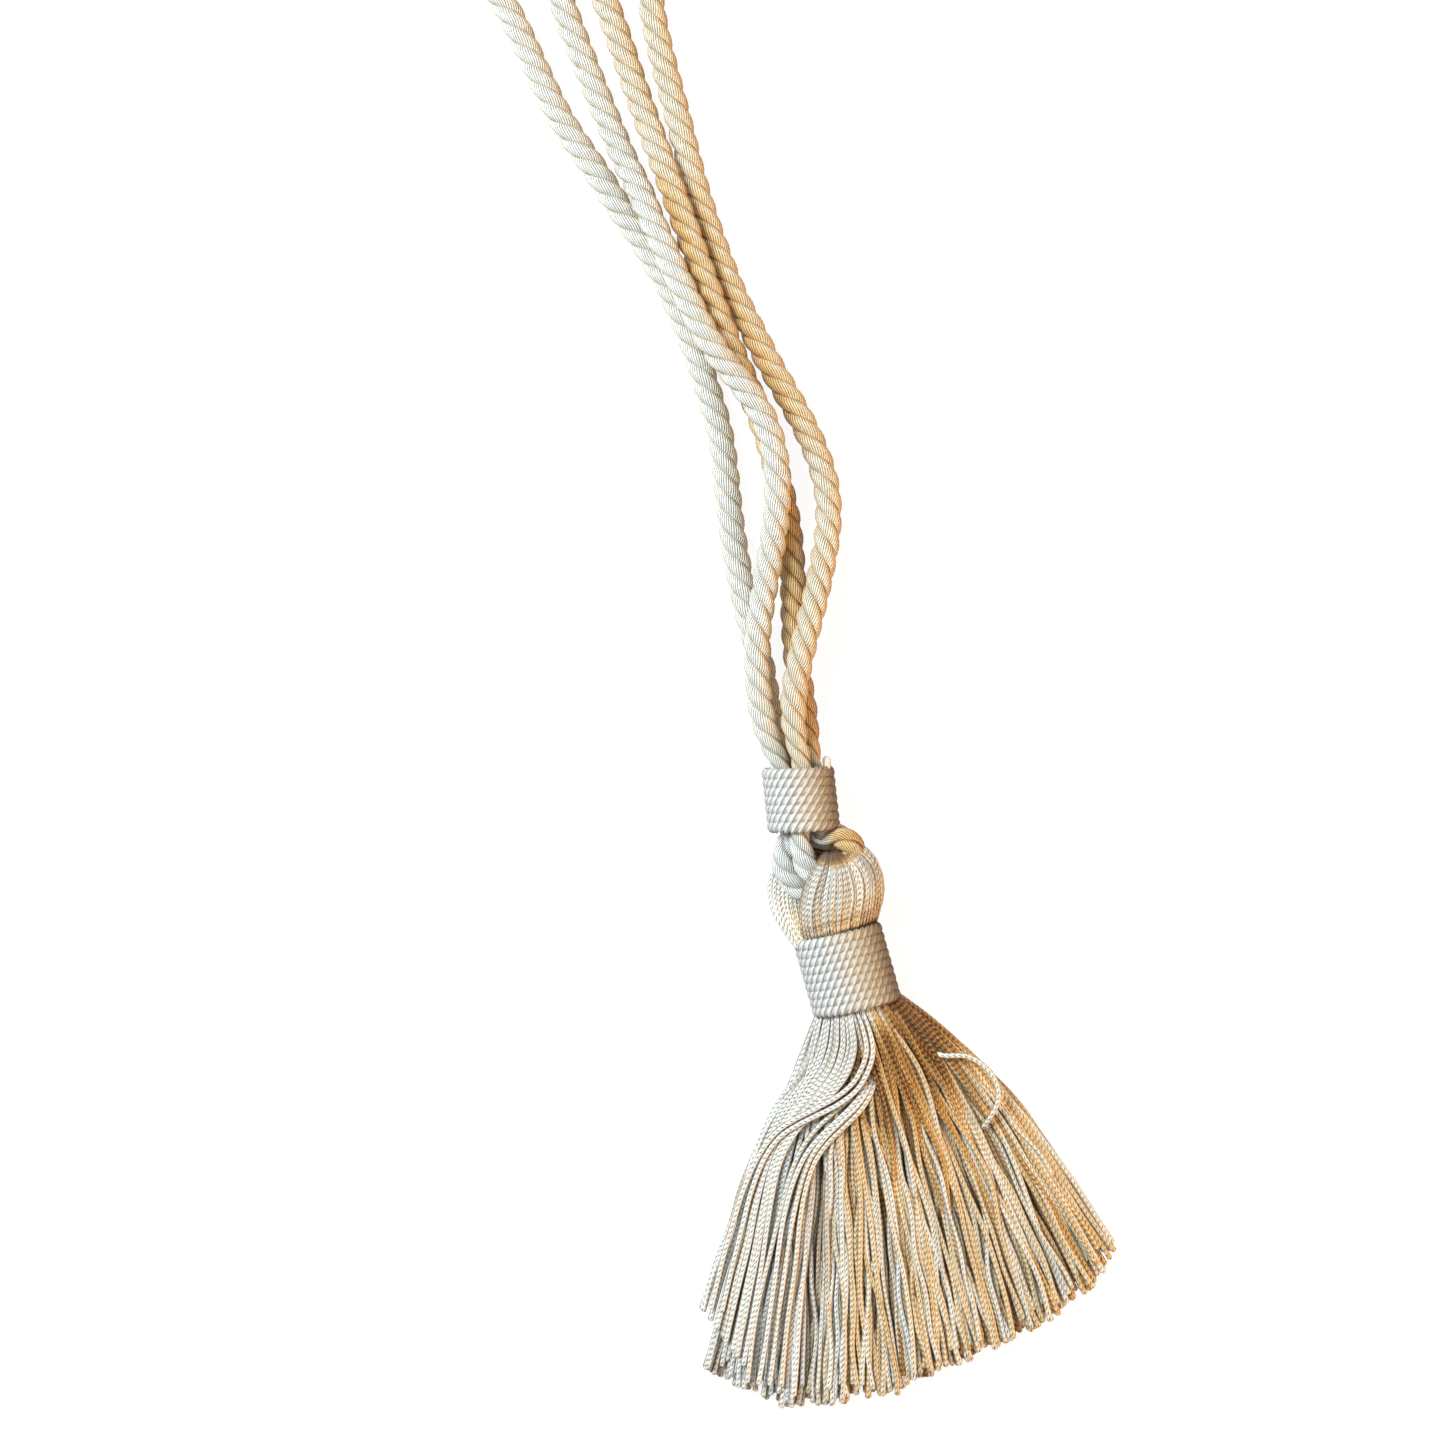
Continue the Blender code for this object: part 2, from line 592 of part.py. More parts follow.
def tassel_mesh():
    """The hank in one skin: strands, the root end they grow from, the neck and the folded head."""
    u, v = np.meshgrid(np.linspace(-1, 1, ROOT_COLUMNS + 1), np.linspace(-1, 1, ROOT_ROWS + 1))
    x, z = square_to_oval(u, v, ROOT_CORNER)
    grid_x = x * ROOT_HALF_WIDTH
    grid_z = neck_axis_height() + z * ROOT_HALF_HEIGHT
    depth = np.full(grid_x.size, -NECK_LENGTH / 2 - ROOT_REACH)
    grid = place((0.0, 0.0), NECK_TILT, depth, grid_x.ravel(), grid_z.ravel())

    edge = boundary_order()
    edge_u, edge_v = u.ravel()[edge], v.ravel()[edge]
    mouth = (-NECK_LENGTH / 2 - PIECE_GAP, 0.0, NECK_HALF_WIDTH, NECK_HALF_HEIGHT)
    body = [body_ring(edge_u, edge_v, row) for row in [mouth] + HEAD_ROWS]
    top_row = dict(zip(HEAD_COLUMNS, HEAD_ROWS[-1]))
    top = place((0.0, 0.0), NECK_TILT, HEAD_TOP, top_row["aside"], top_row["half_height"] - FLAT_DEPTH)

    cells_x = (grid_x[:-1, :-1] + grid_x[1:, :-1] + grid_x[:-1, 1:] + grid_x[1:, 1:]) / 4
    cells_z = (grid_z[:-1, :-1] + grid_z[1:, :-1] + grid_z[:-1, 1:] + grid_z[1:, 1:]) / 4
    row, column = np.divmod(np.arange(ROOT_COLUMNS * ROOT_ROWS), ROOT_COLUMNS)
    strands = strand_rings(column, row, cells_x.ravel(), cells_z.ravel())

    points = np.vstack([grid] + body + [top[None]] + [strands.reshape(-1, 3)])
    around = len(edge)
    body_start = len(grid)
    top_index = body_start + len(body) * around
    strand_start = top_index + 1
    faces = []
    loops = [list(edge)] + [list(range(body_start + k * around, body_start + (k + 1) * around))
                            for k in range(len(body))]
    for lower, upper in zip(loops, loops[1:]):
        for k in range(around):
            n = (k + 1) % around
            faces.append((lower[k], lower[n], upper[n], upper[k]))
    faces += [(loops[-1][k], loops[-1][(k + 1) % around], top_index) for k in range(around)]

    ring_count = len(STRAND_RINGS)
    width = ROOT_COLUMNS + 1
    for strand in range(len(column)):
        low_left = row[strand] * width + column[strand]
        cell = (low_left, low_left + 1, low_left + 1 + width, low_left + width)
        first = strand_start + strand * ring_count * 3
        left, right, apex = first, first + 1, first + 2
        faces += [(cell[0], cell[1], right, left), (cell[1], cell[2], apex, right),
                  (cell[2], cell[3], apex), (cell[3], cell[0], left, apex)]
        for ring in range(ring_count - 1):
            here, there = first + 3 * ring, first + 3 * ring + 3
            faces += [(here + a, here + b, there + b, there + a) for a, b in ((0, 1), (1, 2), (2, 0))]
        faces.append((there, there + 1, there + 2))

    mesh = bpy.data.meshes.new("tassel")
    mesh.from_pydata((points * MM).tolist(), [], [tuple(int(i) for i in face) for face in faces])
    face_out(mesh)
    return mesh


def channel_guide(name, route, guides):
    """A round rod on an eye rope's route, to cut the channel that the rope lies in."""
    curve = bpy.data.curves.new(name, "CURVE")
    curve.dimensions = "3D"
    curve.bevel_depth = (EYE_ROPE_RADIUS + PIECE_GAP) * MM
    curve.bevel_resolution = CHANNEL_ROUNDNESS
    curve.use_fill_caps = True
    spline = curve.splines.new("POLY")
    spline.points.add(len(route) - 1)
    for point, place_mm in zip(spline.points, route):
        point.co = (*(float(v) * MM for v in place_mm), 1.0)
    guide = add_guide(name + "_rod", curve, guides)
    mesh = solid_mesh(guide)
    bpy.data.objects.remove(guide, do_unlink=True)
    return add_guide(name, mesh, guides)


def front_left_guide(guides):
    """A tilted block: the yarns in front cover only the right of the eye ropes."""
    bpy.ops.mesh.primitive_cube_add(size=1.0)
    block = bpy.context.object
    block.name = "front_left"
    block.scale = [size * MM for size in FRONT_CUT_SIZE]
    block.rotation_euler = [math.radians(angle) for angle in FRONT_CUT_TURN]
    block.location = [value * MM for value in FRONT_CUT_MIDDLE]
    keep_as_guide(block, guides)
    return block


def make_tassel(ropes, collections, material):
    parts, guides = collections
    tassel = add_object("tassel", tassel_mesh(), parts, material)
    cutters = [channel_guide(name + "_channel", ropes[name][0], guides)
               for name in ("eye_rope_left", "eye_rope_right")]
    cutters.append(front_left_guide(guides))
    for cutter in cutters:
        cut = tassel.modifiers.new(cutter.name, "BOOLEAN")
        cut.operation = "DIFFERENCE"
        cut.object = cutter
    return tassel


def build():
    clear_scene()
    parts = new_collection(COLLECTION)
    guides = new_collection("cutters")
    collections = (parts, guides)
    rope = satin("rope_satin", CREAM)
    cord = satin("binding_cord", DEEP_CREAM)
    yarn = satin("tassel_yarn", GOLDEN)
    section = star_profile(guides)

    ropes = rope_routes()
    for name, (route, radii) in ropes.items():
        make_rope(name, route, radii, section, collections, rope)

    upper = make_binding("upper_binding", UPPER_CENTRE, UPPER_TILT, UPPER_BORE, UPPER_LENGTH,
                         UPPER_TURNS, UPPER_LUMPS, 1.0, collections, cord)
    add_cord_end(upper, guides)
    make_binding("neck_binding", (0.0, 0.0), NECK_TILT, NECK_BORE, NECK_LENGTH,
                 NECK_TURNS, NECK_LUMPS, NECK_FLATTENING, collections, cord)
    make_tassel(ropes, collections, yarn)
    bpy.data.objects.remove(section, do_unlink=True)


build()
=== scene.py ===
import math

import bpy
import numpy as np
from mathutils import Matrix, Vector


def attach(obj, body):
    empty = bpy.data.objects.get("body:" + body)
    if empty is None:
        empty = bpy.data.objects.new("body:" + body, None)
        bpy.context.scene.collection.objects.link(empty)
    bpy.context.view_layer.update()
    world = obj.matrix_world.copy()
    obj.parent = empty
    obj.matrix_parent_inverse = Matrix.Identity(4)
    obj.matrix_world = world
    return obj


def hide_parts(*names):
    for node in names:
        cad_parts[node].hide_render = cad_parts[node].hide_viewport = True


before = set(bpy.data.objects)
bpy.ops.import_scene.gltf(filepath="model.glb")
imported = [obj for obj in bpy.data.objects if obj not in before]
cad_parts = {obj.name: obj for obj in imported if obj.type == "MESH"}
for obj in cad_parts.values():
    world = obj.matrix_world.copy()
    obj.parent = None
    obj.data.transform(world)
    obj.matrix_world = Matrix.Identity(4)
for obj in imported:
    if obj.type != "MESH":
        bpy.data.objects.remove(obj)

# Looks of a tassel tieback of twisted satin rope, lying flat.
# Shapes are worked out in millimetres in the CAD's frame and stored in metres.

MM = 0.001
UP = np.array([0.0, 0.0, 1.0])
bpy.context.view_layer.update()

# The photograph's pixel at the frame's origin, and millimetres to a pixel
PHOTO_ORIGIN = (846.75, 969.0)
PHOTO_SCALE = 0.293

# Rope, as in the part's source
ROPE_RADIUS = 4.0
ROPE_LAY = 19.0
ROPE_STRANDS = 3
STEPS_PER_LAY = 7
BOUND_ROPE_RADIUS = 3.1
EYE_ROPE_RADIUS = 3.7
SQUEEZE_LENGTH = 16.0
EYE_SQUEEZE_LENGTH = 7.0
MOUTH_LEAD = 2.0
SOFTENING = 10
EYE_SOFTENING = 3
SETTLING_ROUNDS = 220
SETTLING_SHARE = 0.35
ROUTE_CLEARANCE = 0.45
PIECE_GAP = 0.3
FLOOR_GAP = 0.1
WELD = 1e-6

# A rope's round strands and the thin cord in each groove, as shares of the rope's radius
STRAND_OFFSET = 0.46
STRAND_RADIUS = 0.55
FILLER_OFFSET = 0.60
FILLER_RADIUS = 0.17
ROPE_RING_STEP = 0.9
LONG_ROUTE = 60

# Wound bindings
UPPER_CENTRE = (-13.5, 49.8)
UPPER_TILT = 6.2
UPPER_LENGTH = 17.7
UPPER_TURNS = 7
UPPER_BORE = 8.1
NECK_TILT = 15.7
NECK_LENGTH = 22.2
NECK_TURNS = 9
NECK_BORE = 10.65
NECK_FLATTENING = 0.81
CORD_THICKNESS = 2.5
TURN_GROOVE = 0.6
FLAT_DEPTH = 0.3
CORD_PLIES = 3
PLY_PITCH = 2.2
PLY_SHIFT = 0.8
BINDING_CORD_WIDTH = 1.95
BINDING_CORD_HEIGHT = 1.35
BINDING_CORD_SIDES = 18

# The whipping cord's cut end: its start along, across and over the upper binding's axis
CORD_END_START = (7.2, 8.0, 4.0)
CORD_END_LENGTH = 4.6
CORD_END_LEAN = 0.5
CORD_END_RADIUS = 1.45

# Where the four ropes sit in the upper binding: angle about its axis, seen from the eye side
CLUSTER_RADIUS = 4.6
LOOP_SEATS = {"left_front": 160.0, "left_back": 250.0, "right_front": 70.0, "right_back": -20.0}
EYE_SEATS = {"left_outer": 200.0, "left_inner": 110.0, "right_inner": 20.0, "right_outer": -70.0}

# Given routes: across, along and height of the rope's middle
LOOP_LEFT_ROUTE = [
    (-23.6, 67.7, 12.1), (-25.4, 76.5, 12.4), (-26.3, 85.8, 12.4),
    (-26.6, 95.2, 12.4), (-26.3, 102.3, 12.0), (-24.2, 110.5, 9.9),
    (-20.7, 130.1, 11.7), (-19.9, 142.7, 12.5), (-21.9, 157.3, 12.5), (-28.9, 169.4, 12.4),
    (-34.5, 175.2, 12.0), (-42.1, 186.3, 14.3), (-49.4, 201.3, 14.2), (-55.9, 216.2, 12.2),
    (-63.5, 233.5, 5.6), (-70.5, 250.2, 4.1), (-77.3, 267.2, 4.1), (-83.7, 283.9, 4.1),
    (-89.9, 306.8, 4.1), (-95.7, 326.9, 4.1), (-104.1, 344.2, 4.1), (-114.6, 351.9, 4.1),
    (-127.4, 349.9, 4.1), (-135.1, 339.4, 4.1), (-133.1, 326.6, 4.1), (-123.3, 312.7, 4.1),
    (-110.7, 297.2, 4.1), (-100.1, 283.9, 4.1), (-84.6, 250.2, 4.1), (-72.9, 233.5, 4.1),
    (-61.2, 216.2, 4.1), (-52.4, 201.3, 4.1), (-45.9, 186.3, 4.1), (-36.6, 157.3, 4.1),
    (-33.9, 130.1, 4.1), (-30.5, 110.5, 4.1), (-26.3, 95.2, 4.1), (-23.9, 85.8, 4.1),
    (-23.4, 76.5, 4.1), (-20.6, 67.7, 4.3)]
LOOP_RIGHT_ROUTE = [
    (-15.8, 67.7, 13.0), (-16.3, 76.5, 12.1), (-14.9, 85.8, 12.5),
    (-12.8, 95.2, 12.4), (-11.1, 102.3, 11.3), (-8.7, 110.5, 9.3),
    (-4.8, 130.1, 4.2), (-5.2, 142.7, 4.1), (-10.8, 157.3, 4.1), (-17.8, 169.4, 4.1),
    (-21.0, 175.2, 4.1), (-27.8, 186.3, 4.1), (-34.5, 201.3, 4.1), (-40.1, 216.2, 4.1),
    (-45.5, 233.5, 4.1), (-49.4, 250.2, 4.1), (-54.1, 267.2, 4.1), (-57.9, 283.9, 4.1),
    (-57.9, 305.6, 4.1), (-55.8, 325.8, 4.1), (-54.8, 342.8, 4.1), (-60.7, 354.3, 4.1),
    (-73.1, 358.3, 4.1), (-84.6, 352.5, 4.1), (-88.6, 340.0, 4.1), (-85.4, 321.0, 4.1),
    (-78.5, 301.4, 4.1), (-70.4, 283.9, 4.1), (-59.1, 250.2, 4.3), (-53.0, 233.5, 8.8),
    (-46.8, 216.2, 10.0), (-41.5, 201.3, 9.7), (-35.7, 186.3, 8.0), (-30.7, 175.2, 4.3),
    (-23.2, 157.3, 4.1), (-16.6, 130.1, 4.1), (-15.4, 110.5, 4.1), (-15.2, 95.2, 4.1),
    (-14.0, 85.8, 4.1), (-12.5, 76.5, 4.2), (-11.2, 67.7, 5.2)]
EYE_LEFT_ROUTE = [
    (-19.0, 36.8, 8.4), (-19.4, 32.8, 8.6), (-18.4, 28.6, 8.6), (-16.0, 24.9, 8.4),
    (-12.2, 21.6, 7.8), (-7.0, 20.0, 7.0), (-1.8, 21.0, 6.2), (2.4, 24.2, 5.7),
    (4.2, 28.8, 5.6), (3.4, 32.8, 5.6), (0.4, 35.8, 5.4), (-4.8, 37.4, 5.3)]
EYE_RIGHT_ROUTE = [
    (-14.2, 37.2, 14.3), (-13.6, 33.8, 14.5), (-12.2, 30.4, 14.6), (-10.2, 27.2, 14.5),
    (-7.4, 25.0, 14.4), (-4.2, 24.2, 14.2), (-0.8, 25.2, 14.0), (1.8, 27.8, 13.7),
    (2.6, 31.2, 13.6), (1.6, 34.6, 13.3), (-1.2, 37.2, 12.6), (-4.6, 38.8, 11.9)]

# Folded head of the hank, from the neck up: along the neck's axis, aside, half width and height
HEAD_ROWS = np.array([
    (11.4, 0.0, 10.3, 8.2), (13.0, 0.0, 12.9, 9.6), (16.2, 0.0, 15.4, 10.9),
    (20.0, 0.3, 16.7, 11.5), (24.2, 0.7, 17.0, 11.7), (28.7, 0.8, 16.4, 11.5),
    (32.3, 0.9, 14.8, 10.6), (34.6, 0.9, 11.8, 8.8), (35.9, 0.9, 6.5, 5.0)])

# The eye that the head's yarns come up through, the angles of their fan, and two rows that
# they pass: along the axis, leftmost place and spread across
EYE_MIDDLE = np.array([-4.4, 35.6])
EYE_HALF = np.array([5.0, 3.8])
EYE_DEPTH = 12.0
EYE_FLOOR = 5.0
FAN_START = -50.0
FAN_SPREAD = 158.0
SWELL_ROW = (19.0, -11.6, 28.4)
NECK_ROW = (9.0, -8.7, 20.0)
NECK_RIM = 10.3
HEAD_YARN_WIDTH = 1.62
HEAD_YARN_HEIGHT = 1.8

# Back half of the hank, left of the eye ropes: photograph place and height, from the top
LEFT_YARN_EDGE = [(782, 858, 4.0), (769, 880, 7.0), (773, 912, 10.0), (796, 948, 12.0)]
LEFT_YARN_INNER = [(806, 878, 3.0), (804, 898, 5.0), (806, 920, 11.0), (815, 946, 14.6)]

# Fringe: edge rows are an angle from the neck's end and how far the strands reach there
ROOT_HALF_WIDTH = 10.8
ROOT_HALF_HEIGHT = 8.6
ROOT_DEPTH = 2.5
ROOT_LEVELS = (-0.85, -0.4, 0.1, 0.55, 0.95)
TOP_LAYER = 4
STRAND_WIDTH = 1.6
STRAND_RISE = 1.4
STRAND_FLATNESS = 0.9
SETTLED_AT = 0.6
BOW_LEFT = -5.0
BOW_RIGHT = 17.0
EDGE_INSET = 0.8
EDGE_ROWS = np.array([
    (-23.3, 116.0), (-10.5, 120.5), (-2.7, 118.0), (6.6, 114.0), (15.3, 110.5),
    (23.0, 109.0), (31.0, 109.0), (39.4, 108.5), (47.8, 104.0)])
UNEVEN_CUT = 0.055
# How often a strand waves along its length, and by how much
STRAND_WAVES = ((1.1, 1.2), (2.3, 0.55), (4.6, 0.2))
UNDER_LOCK_DROP = 2.4

# Locks over the fringe, from the neck down: photograph place and height
SWEEP_LEFT = [
    (819, 1010, 9.5), (816, 1022, 9.5), (804, 1060, 8.5), (789, 1086, 7.8), (773, 1112, 7.2),
    (757, 1150, 6.6), (742, 1190, 6.2), (733, 1225, 6.0), (720, 1262, 6.0), (704, 1314, 6.0)]
SWEEP_RIGHT = [
    (858, 1006, 16.4), (863, 1024, 17.2), (867, 1046, 17.0), (860, 1072, 15.4), (843, 1095, 13.4),
    (822, 1115, 11.4), (800, 1138, 10.2), (784, 1172, 9.2), (774, 1230, 8.6), (766, 1290, 8.4),
    (752, 1376, 8.4)]
OVER_ROUTE = [
    (856, 1004, 17.6), (863, 1021, 18.8), (868, 1044, 18.6), (865, 1062, 17.4), (855, 1082, 15.8),
    (838, 1097, 14.4), (816, 1109, 13.0), (795, 1120, 11.8), (776, 1134, 10.6), (760, 1158, 9.6),
    (747, 1192, 9.0), (738, 1226, 8.6), (728, 1262, 8.4), (716, 1310, 8.2)]
UNDER_ROUTE = [
    (872, 1050, 13.0), (868, 1078, 14.0), (856, 1100, 13.6), (838, 1118, 12.4), (822, 1134, 11.2),
    (808, 1154, 10.2), (798, 1180, 9.6), (790, 1215, 9.2), (782, 1262, 9.0), (772, 1318, 8.8),
    (764, 1384, 8.8)]
LOOSE_ROUTE = [
    (926, 1048, 9.5), (943, 1054, 12.6), (967, 1054, 13.4), (986, 1066, 13.0), (995, 1083, 12.6),
    (995, 1099, 12.2), (989, 1114, 11.4), (983, 1127, 9.0)]
# Where along a lock its opening is given
OPENING_AT = (0.0, 0.25, 0.55, 1.0)

# Colours: tone is 0 for deep golden and 1 for pale, and the painted shadow multiplies by the
# shadow colour.
# Tone holds the yarn's own differences and painted light: lowered tone is painted warm shade,
# and the pale stop's cool white is painted cool light
PALE = (0.90, 0.94, 0.93)
IVORY = (0.88, 0.82, 0.67)
CREAM = (0.86, 0.63, 0.31)
GOLDEN = (0.68, 0.34, 0.07)
DEEP_GOLD = (0.12, 0.042, 0.008)
SHADOW = (0.22, 0.155, 0.10)
TONE_STOPS = [(0.0, DEEP_GOLD), (0.30, GOLDEN), (0.56, CREAM), (0.78, IVORY), (1.0, PALE)]
LEFT_LOOP_TONE = 0.93
# Lower than the left loop's: painted warm shade on the right loop
RIGHT_LOOP_TONE = 0.77
EYE_ROPE_TONE = 1.08
BINDING_TONE = 1.02
CORD_END_TONE = 0.85
# Painted shade on a rope's skin, where its tone falls: at its right, at its left where the loops
# lie side by side between two places along Y, in its outline and in the groove cords
RIGHT_SHADE = 0.34
LEFT_SHADE = 0.46
SIDE_BY_SIDE = (150.0, 240.0)
SIDE_EASE = 20.0
OUTLINE_SHADE = 0.42
OUTLINE_WIDTH = 0.30
# How much painted shade lowers the groove cords' tone
FILLER_PAINTED_SHADE = 0.20
# How dark a yarn's edges are, and how wide that shadow is
EDGE_SHADOW = 0.84
EDGE_WIDTH = 0.42
# Threads of the rope and stitches of the yarn
THREAD_PITCH = 0.53
THREAD_TURNS = 15
# Where the painted shade in a rope's grooves starts
GROOVE_STARTS = 0.34
STITCH_PITCH = 1.68
SLIT_SIZE = (0.24, 0.30)
SLIT_LEAN = 0.8

# Camera, floor and light: each panel's place, size, power and colour
VIEW_CENTRE = (-36.4, 72.2)
CAMERA_HEIGHT = 831.0
CAMERA_LENS = 70.0
SENSOR_WIDTH = 36.0
FLOOR_HALF = 3.0
FLOOR_GREY = 0.22
FLOOR_GLOW = 0.88
WORLD_LIGHT = 0.18
WHITE = (1.0, 1.0, 1.0, 1.0)
PANELS = (("key", (-740.0, 520.0, 980.0), 0.5, 22.0, (0.90, 0.96, 1.0)),
          ("fill", (850.0, -250.0, 260.0), 0.5, 8.6, (1.0, 0.57, 0.23)),
          ("top", (0.0, 300.0, 1400.0), 1.2, 4.0, (0.97, 0.99, 1.0)))


# Small helpers

def unit(vectors):
    """The vectors divided by their lengths."""
    return vectors / np.linalg.norm(vectors, axis=-1, keepdims=True)


def ease(t):
    """Smooth step from 0 to 1: t t (3 - 2 t)."""
    t = np.clip(t, 0.0, 1.0)
    return t * t * (3 - 2 * t)


def axis_frame(tilt):
    """Unit directions across and along a piece whose axis leans left of Y by tilt degrees."""
    lean = math.radians(tilt)
    across = np.array([math.cos(lean), math.sin(lean), 0.0])
    along = np.array([-math.sin(lean), math.cos(lean), 0.0])
    return across, along


def place(centre, tilt, along, across, height):
    """World points from places along and across a tilted axis and a height."""
    side, axis = axis_frame(tilt)
    start = np.array([centre[0], centre[1], 0.0])
    flat = start + np.multiply.outer(along, axis) + np.multiply.outer(across, side)
    return flat + np.multiply.outer(height, UP)


def on_neck(along, across, height):
    """World points from places along and across the neck's axis and a height."""
    return place((0.0, 0.0), NECK_TILT, along, across, height)


def heading(angle):
    """Plan direction at an angle from straight down, in degrees, positive to the right."""
    turn = np.radians(angle)
    return np.stack([np.sin(turn), -np.cos(turn)], axis=-1)


def travelled(route):
    """Distance along a route at each of its points."""
    return np.concatenate([[0.0], np.cumsum(np.linalg.norm(np.diff(route, axis=0), axis=1))])


def read_at(wanted, known, points):
    """A line's points at the wanted places, in between those known at other places."""
    return np.stack([np.interp(wanted, known, points[:, k]) for k in range(3)], axis=1)


def even_steps(points, step):
    """Points at even distances, about a step apart, on the line through the given ones."""
    points = np.array(points, dtype=float)
    length = travelled(points)
    wanted = np.linspace(0.0, length[-1], round(length[-1] / step) + 1)
    return read_at(wanted, length, points)


def smooth_curve(points, step):
    """A Catmull-Rom curve through the points, read at even steps.

    Between points b and c, with neighbours a and d:
    p(t) = (2b + (c-a)t + (2a-5b+4c-d)tt + (3b-a-3c+d)ttt) / 2
    """
    points = np.array(points, dtype=float)
    padded = np.vstack([2 * points[0] - points[1], points, 2 * points[-1] - points[-2]])
    a, b, c, d = (padded[k:len(padded) - 3 + k, None] for k in range(4))
    t = np.linspace(0.0, 1.0, 24, endpoint=False)[None, :, None]
    curve = (2 * b + (c - a) * t + (2 * a - 5 * b + 4 * c - d) * t * t
             + (3 * b - a - 3 * c + d) * t ** 3) / 2
    return even_steps(np.vstack([curve.reshape(-1, 3), points[-1]]), step)


def photo_line(rows):
    """A smooth line through plan places read off the photograph, with heights in millimetres:
    x = (column - origin) scale, y = (origin - row) scale."""
    rows = np.array(rows, dtype=float)
    return smooth_curve(np.stack([(rows[:, 0] - PHOTO_ORIGIN[0]) * PHOTO_SCALE,
                                  (PHOTO_ORIGIN[1] - rows[:, 1]) * PHOTO_SCALE,
                                  rows[:, 2]], axis=1), 1.0)


def shares_along(line, t):
    """A line's points at the shares t of its steps."""
    return read_at(t, np.linspace(0.0, 1.0, len(line)), line)


def left_of(plan):
    """Unit directions to the left of plan lines: their slope turned by a right angle."""
    slope = unit(np.gradient(plan, axis=-2))
    return np.stack([-slope[..., 1], slope[..., 0]], axis=-1)


def chance_wave(rng, count, size, turns):
    """Sine waves of chance size and phase: size normal sin(2 pi (turns + chance))."""
    return size * rng.standard_normal((count, 1)) * np.sin(
        math.tau * (turns + rng.random((count, 1))))


def turned_away(facing, width):
    """Near 1 where a skin faces sideways: exp(-(z / width)^2), z its facing's upward part."""
    return np.exp(-(facing[..., 2] / width) ** 2)


# Meshes from tubes

def tube_mesh(name, centres, up, reach, width, height, along, tone, shadow=0.0, turn=0.0,
              roll=0.0):
    """Many closed tubes in one mesh.

    centres: tubes x rings x 3, the middle line. up: the section's upward direction.
    reach: tubes x rings x sides, the section's outline as a share of width and height.
    A ring point is centre + side * width * reach * cos(a) + top * height * reach * sin(a),
    a = 2 pi k / sides + turn, where side = tangent x up and top = side x tangent.
    UV: u once round, plus the roll, v the length along in millimetres. tone is paleness and
    shadow darkness, and both carry painted shade; each is an array, or a function of the
    directions that the skin faces, by which shade is painted.
    """
    count, rings, sides = reach.shape
    tangent = unit(np.gradient(centres, axis=1))
    side = unit(np.cross(tangent, np.broadcast_to(up, centres.shape)))
    top = np.cross(side, tangent)
    angle = math.tau * np.arange(sides) / sides + np.asarray(turn)[..., None]
    cosine, sine = np.cos(angle), np.sin(angle)
    facing = cosine[..., None] * side[:, :, None] + sine[..., None] * top[:, :, None]
    across = (np.asarray(width)[..., None] * reach * cosine)[..., None]
    rise = (np.asarray(height)[..., None] * reach * sine)[..., None]
    skin = centres[:, :, None] + across * side[:, :, None] + rise * top[:, :, None]
    block = np.concatenate([skin.reshape(count, -1, 3), centres[:, :1], centres[:, -1:]], axis=1)
    size = rings * sides + 2

    ring, k = np.divmod(np.arange((rings - 1) * sides), sides)
    corners_of_quad = ((0, 0), (1, 0), (1, 1), (0, 1))
    quads = np.stack([(ring + i) * sides + (k + j) % sides for i, j in corners_of_quad], axis=-1)
    quad_u = np.stack([k + j for _, j in corners_of_quad], axis=-1).ravel() / sides
    k = np.arange(sides)
    last = (rings - 1) * sides
    foot = np.stack([np.full(sides, size - 2), k, (k + 1) % sides], axis=-1)
    tip = np.stack([np.full(sides, size - 1), last + (k + 1) % sides, last + k], axis=-1)
    foot_u = np.stack([k + 0.5, k, k + 1], axis=-1).ravel() / sides
    tip_u = np.stack([k + 0.5, k + 1, k], axis=-1).ravel() / sides
    shift = size * np.arange(count)[:, None]
    corner = np.concatenate([quads.ravel(), foot.ravel(), tip.ravel()])
    corners = (corner[None] + shift).ravel()
    sizes = np.concatenate([np.full(len(quads), 4), np.full(2 * sides, 3)])
    starts = np.concatenate([[0], np.cumsum(np.tile(sizes, count))[:-1]])

    def at_points(values):
        """One value for each ring or ring point, as one for each point of the mesh."""
        values = np.broadcast_to(values, (count, rings)) if np.ndim(values) < 3 else values
        if values.ndim == 2:
            values = np.repeat(values, sides, axis=1)
        values = values.reshape(count, -1)
        return np.concatenate([values, values[:, :1], values[:, -1:]], axis=1).ravel()

    mesh = bpy.data.meshes.new(name)
    mesh.vertices.add(count * size)
    mesh.vertices.foreach_set("co", (block * MM).ravel())
    mesh.loops.add(len(corners))
    mesh.loops.foreach_set("vertex_index", corners.astype(np.int32))
    mesh.polygons.add(len(starts))
    mesh.polygons.foreach_set("loop_start", starts.astype(np.int32))
    mesh.polygons.foreach_set("use_smooth", np.ones(len(starts), dtype=bool))
    mesh.update(calc_edges=True)
    u = np.tile(np.concatenate([quad_u, foot_u, tip_u]), count) + at_points(roll)[corners]
    layer = mesh.uv_layers.new(name="UVMap")
    layer.data.foreach_set("uv", np.stack([u, at_points(along)[corners]], axis=-1).ravel())
    for label, values in (("tone", tone), ("shadow", shadow)):
        values = values(facing) if callable(values) else values
        attribute = mesh.attributes.new(label, "FLOAT", "POINT")
        attribute.data.foreach_set("value", at_points(values))
    return mesh


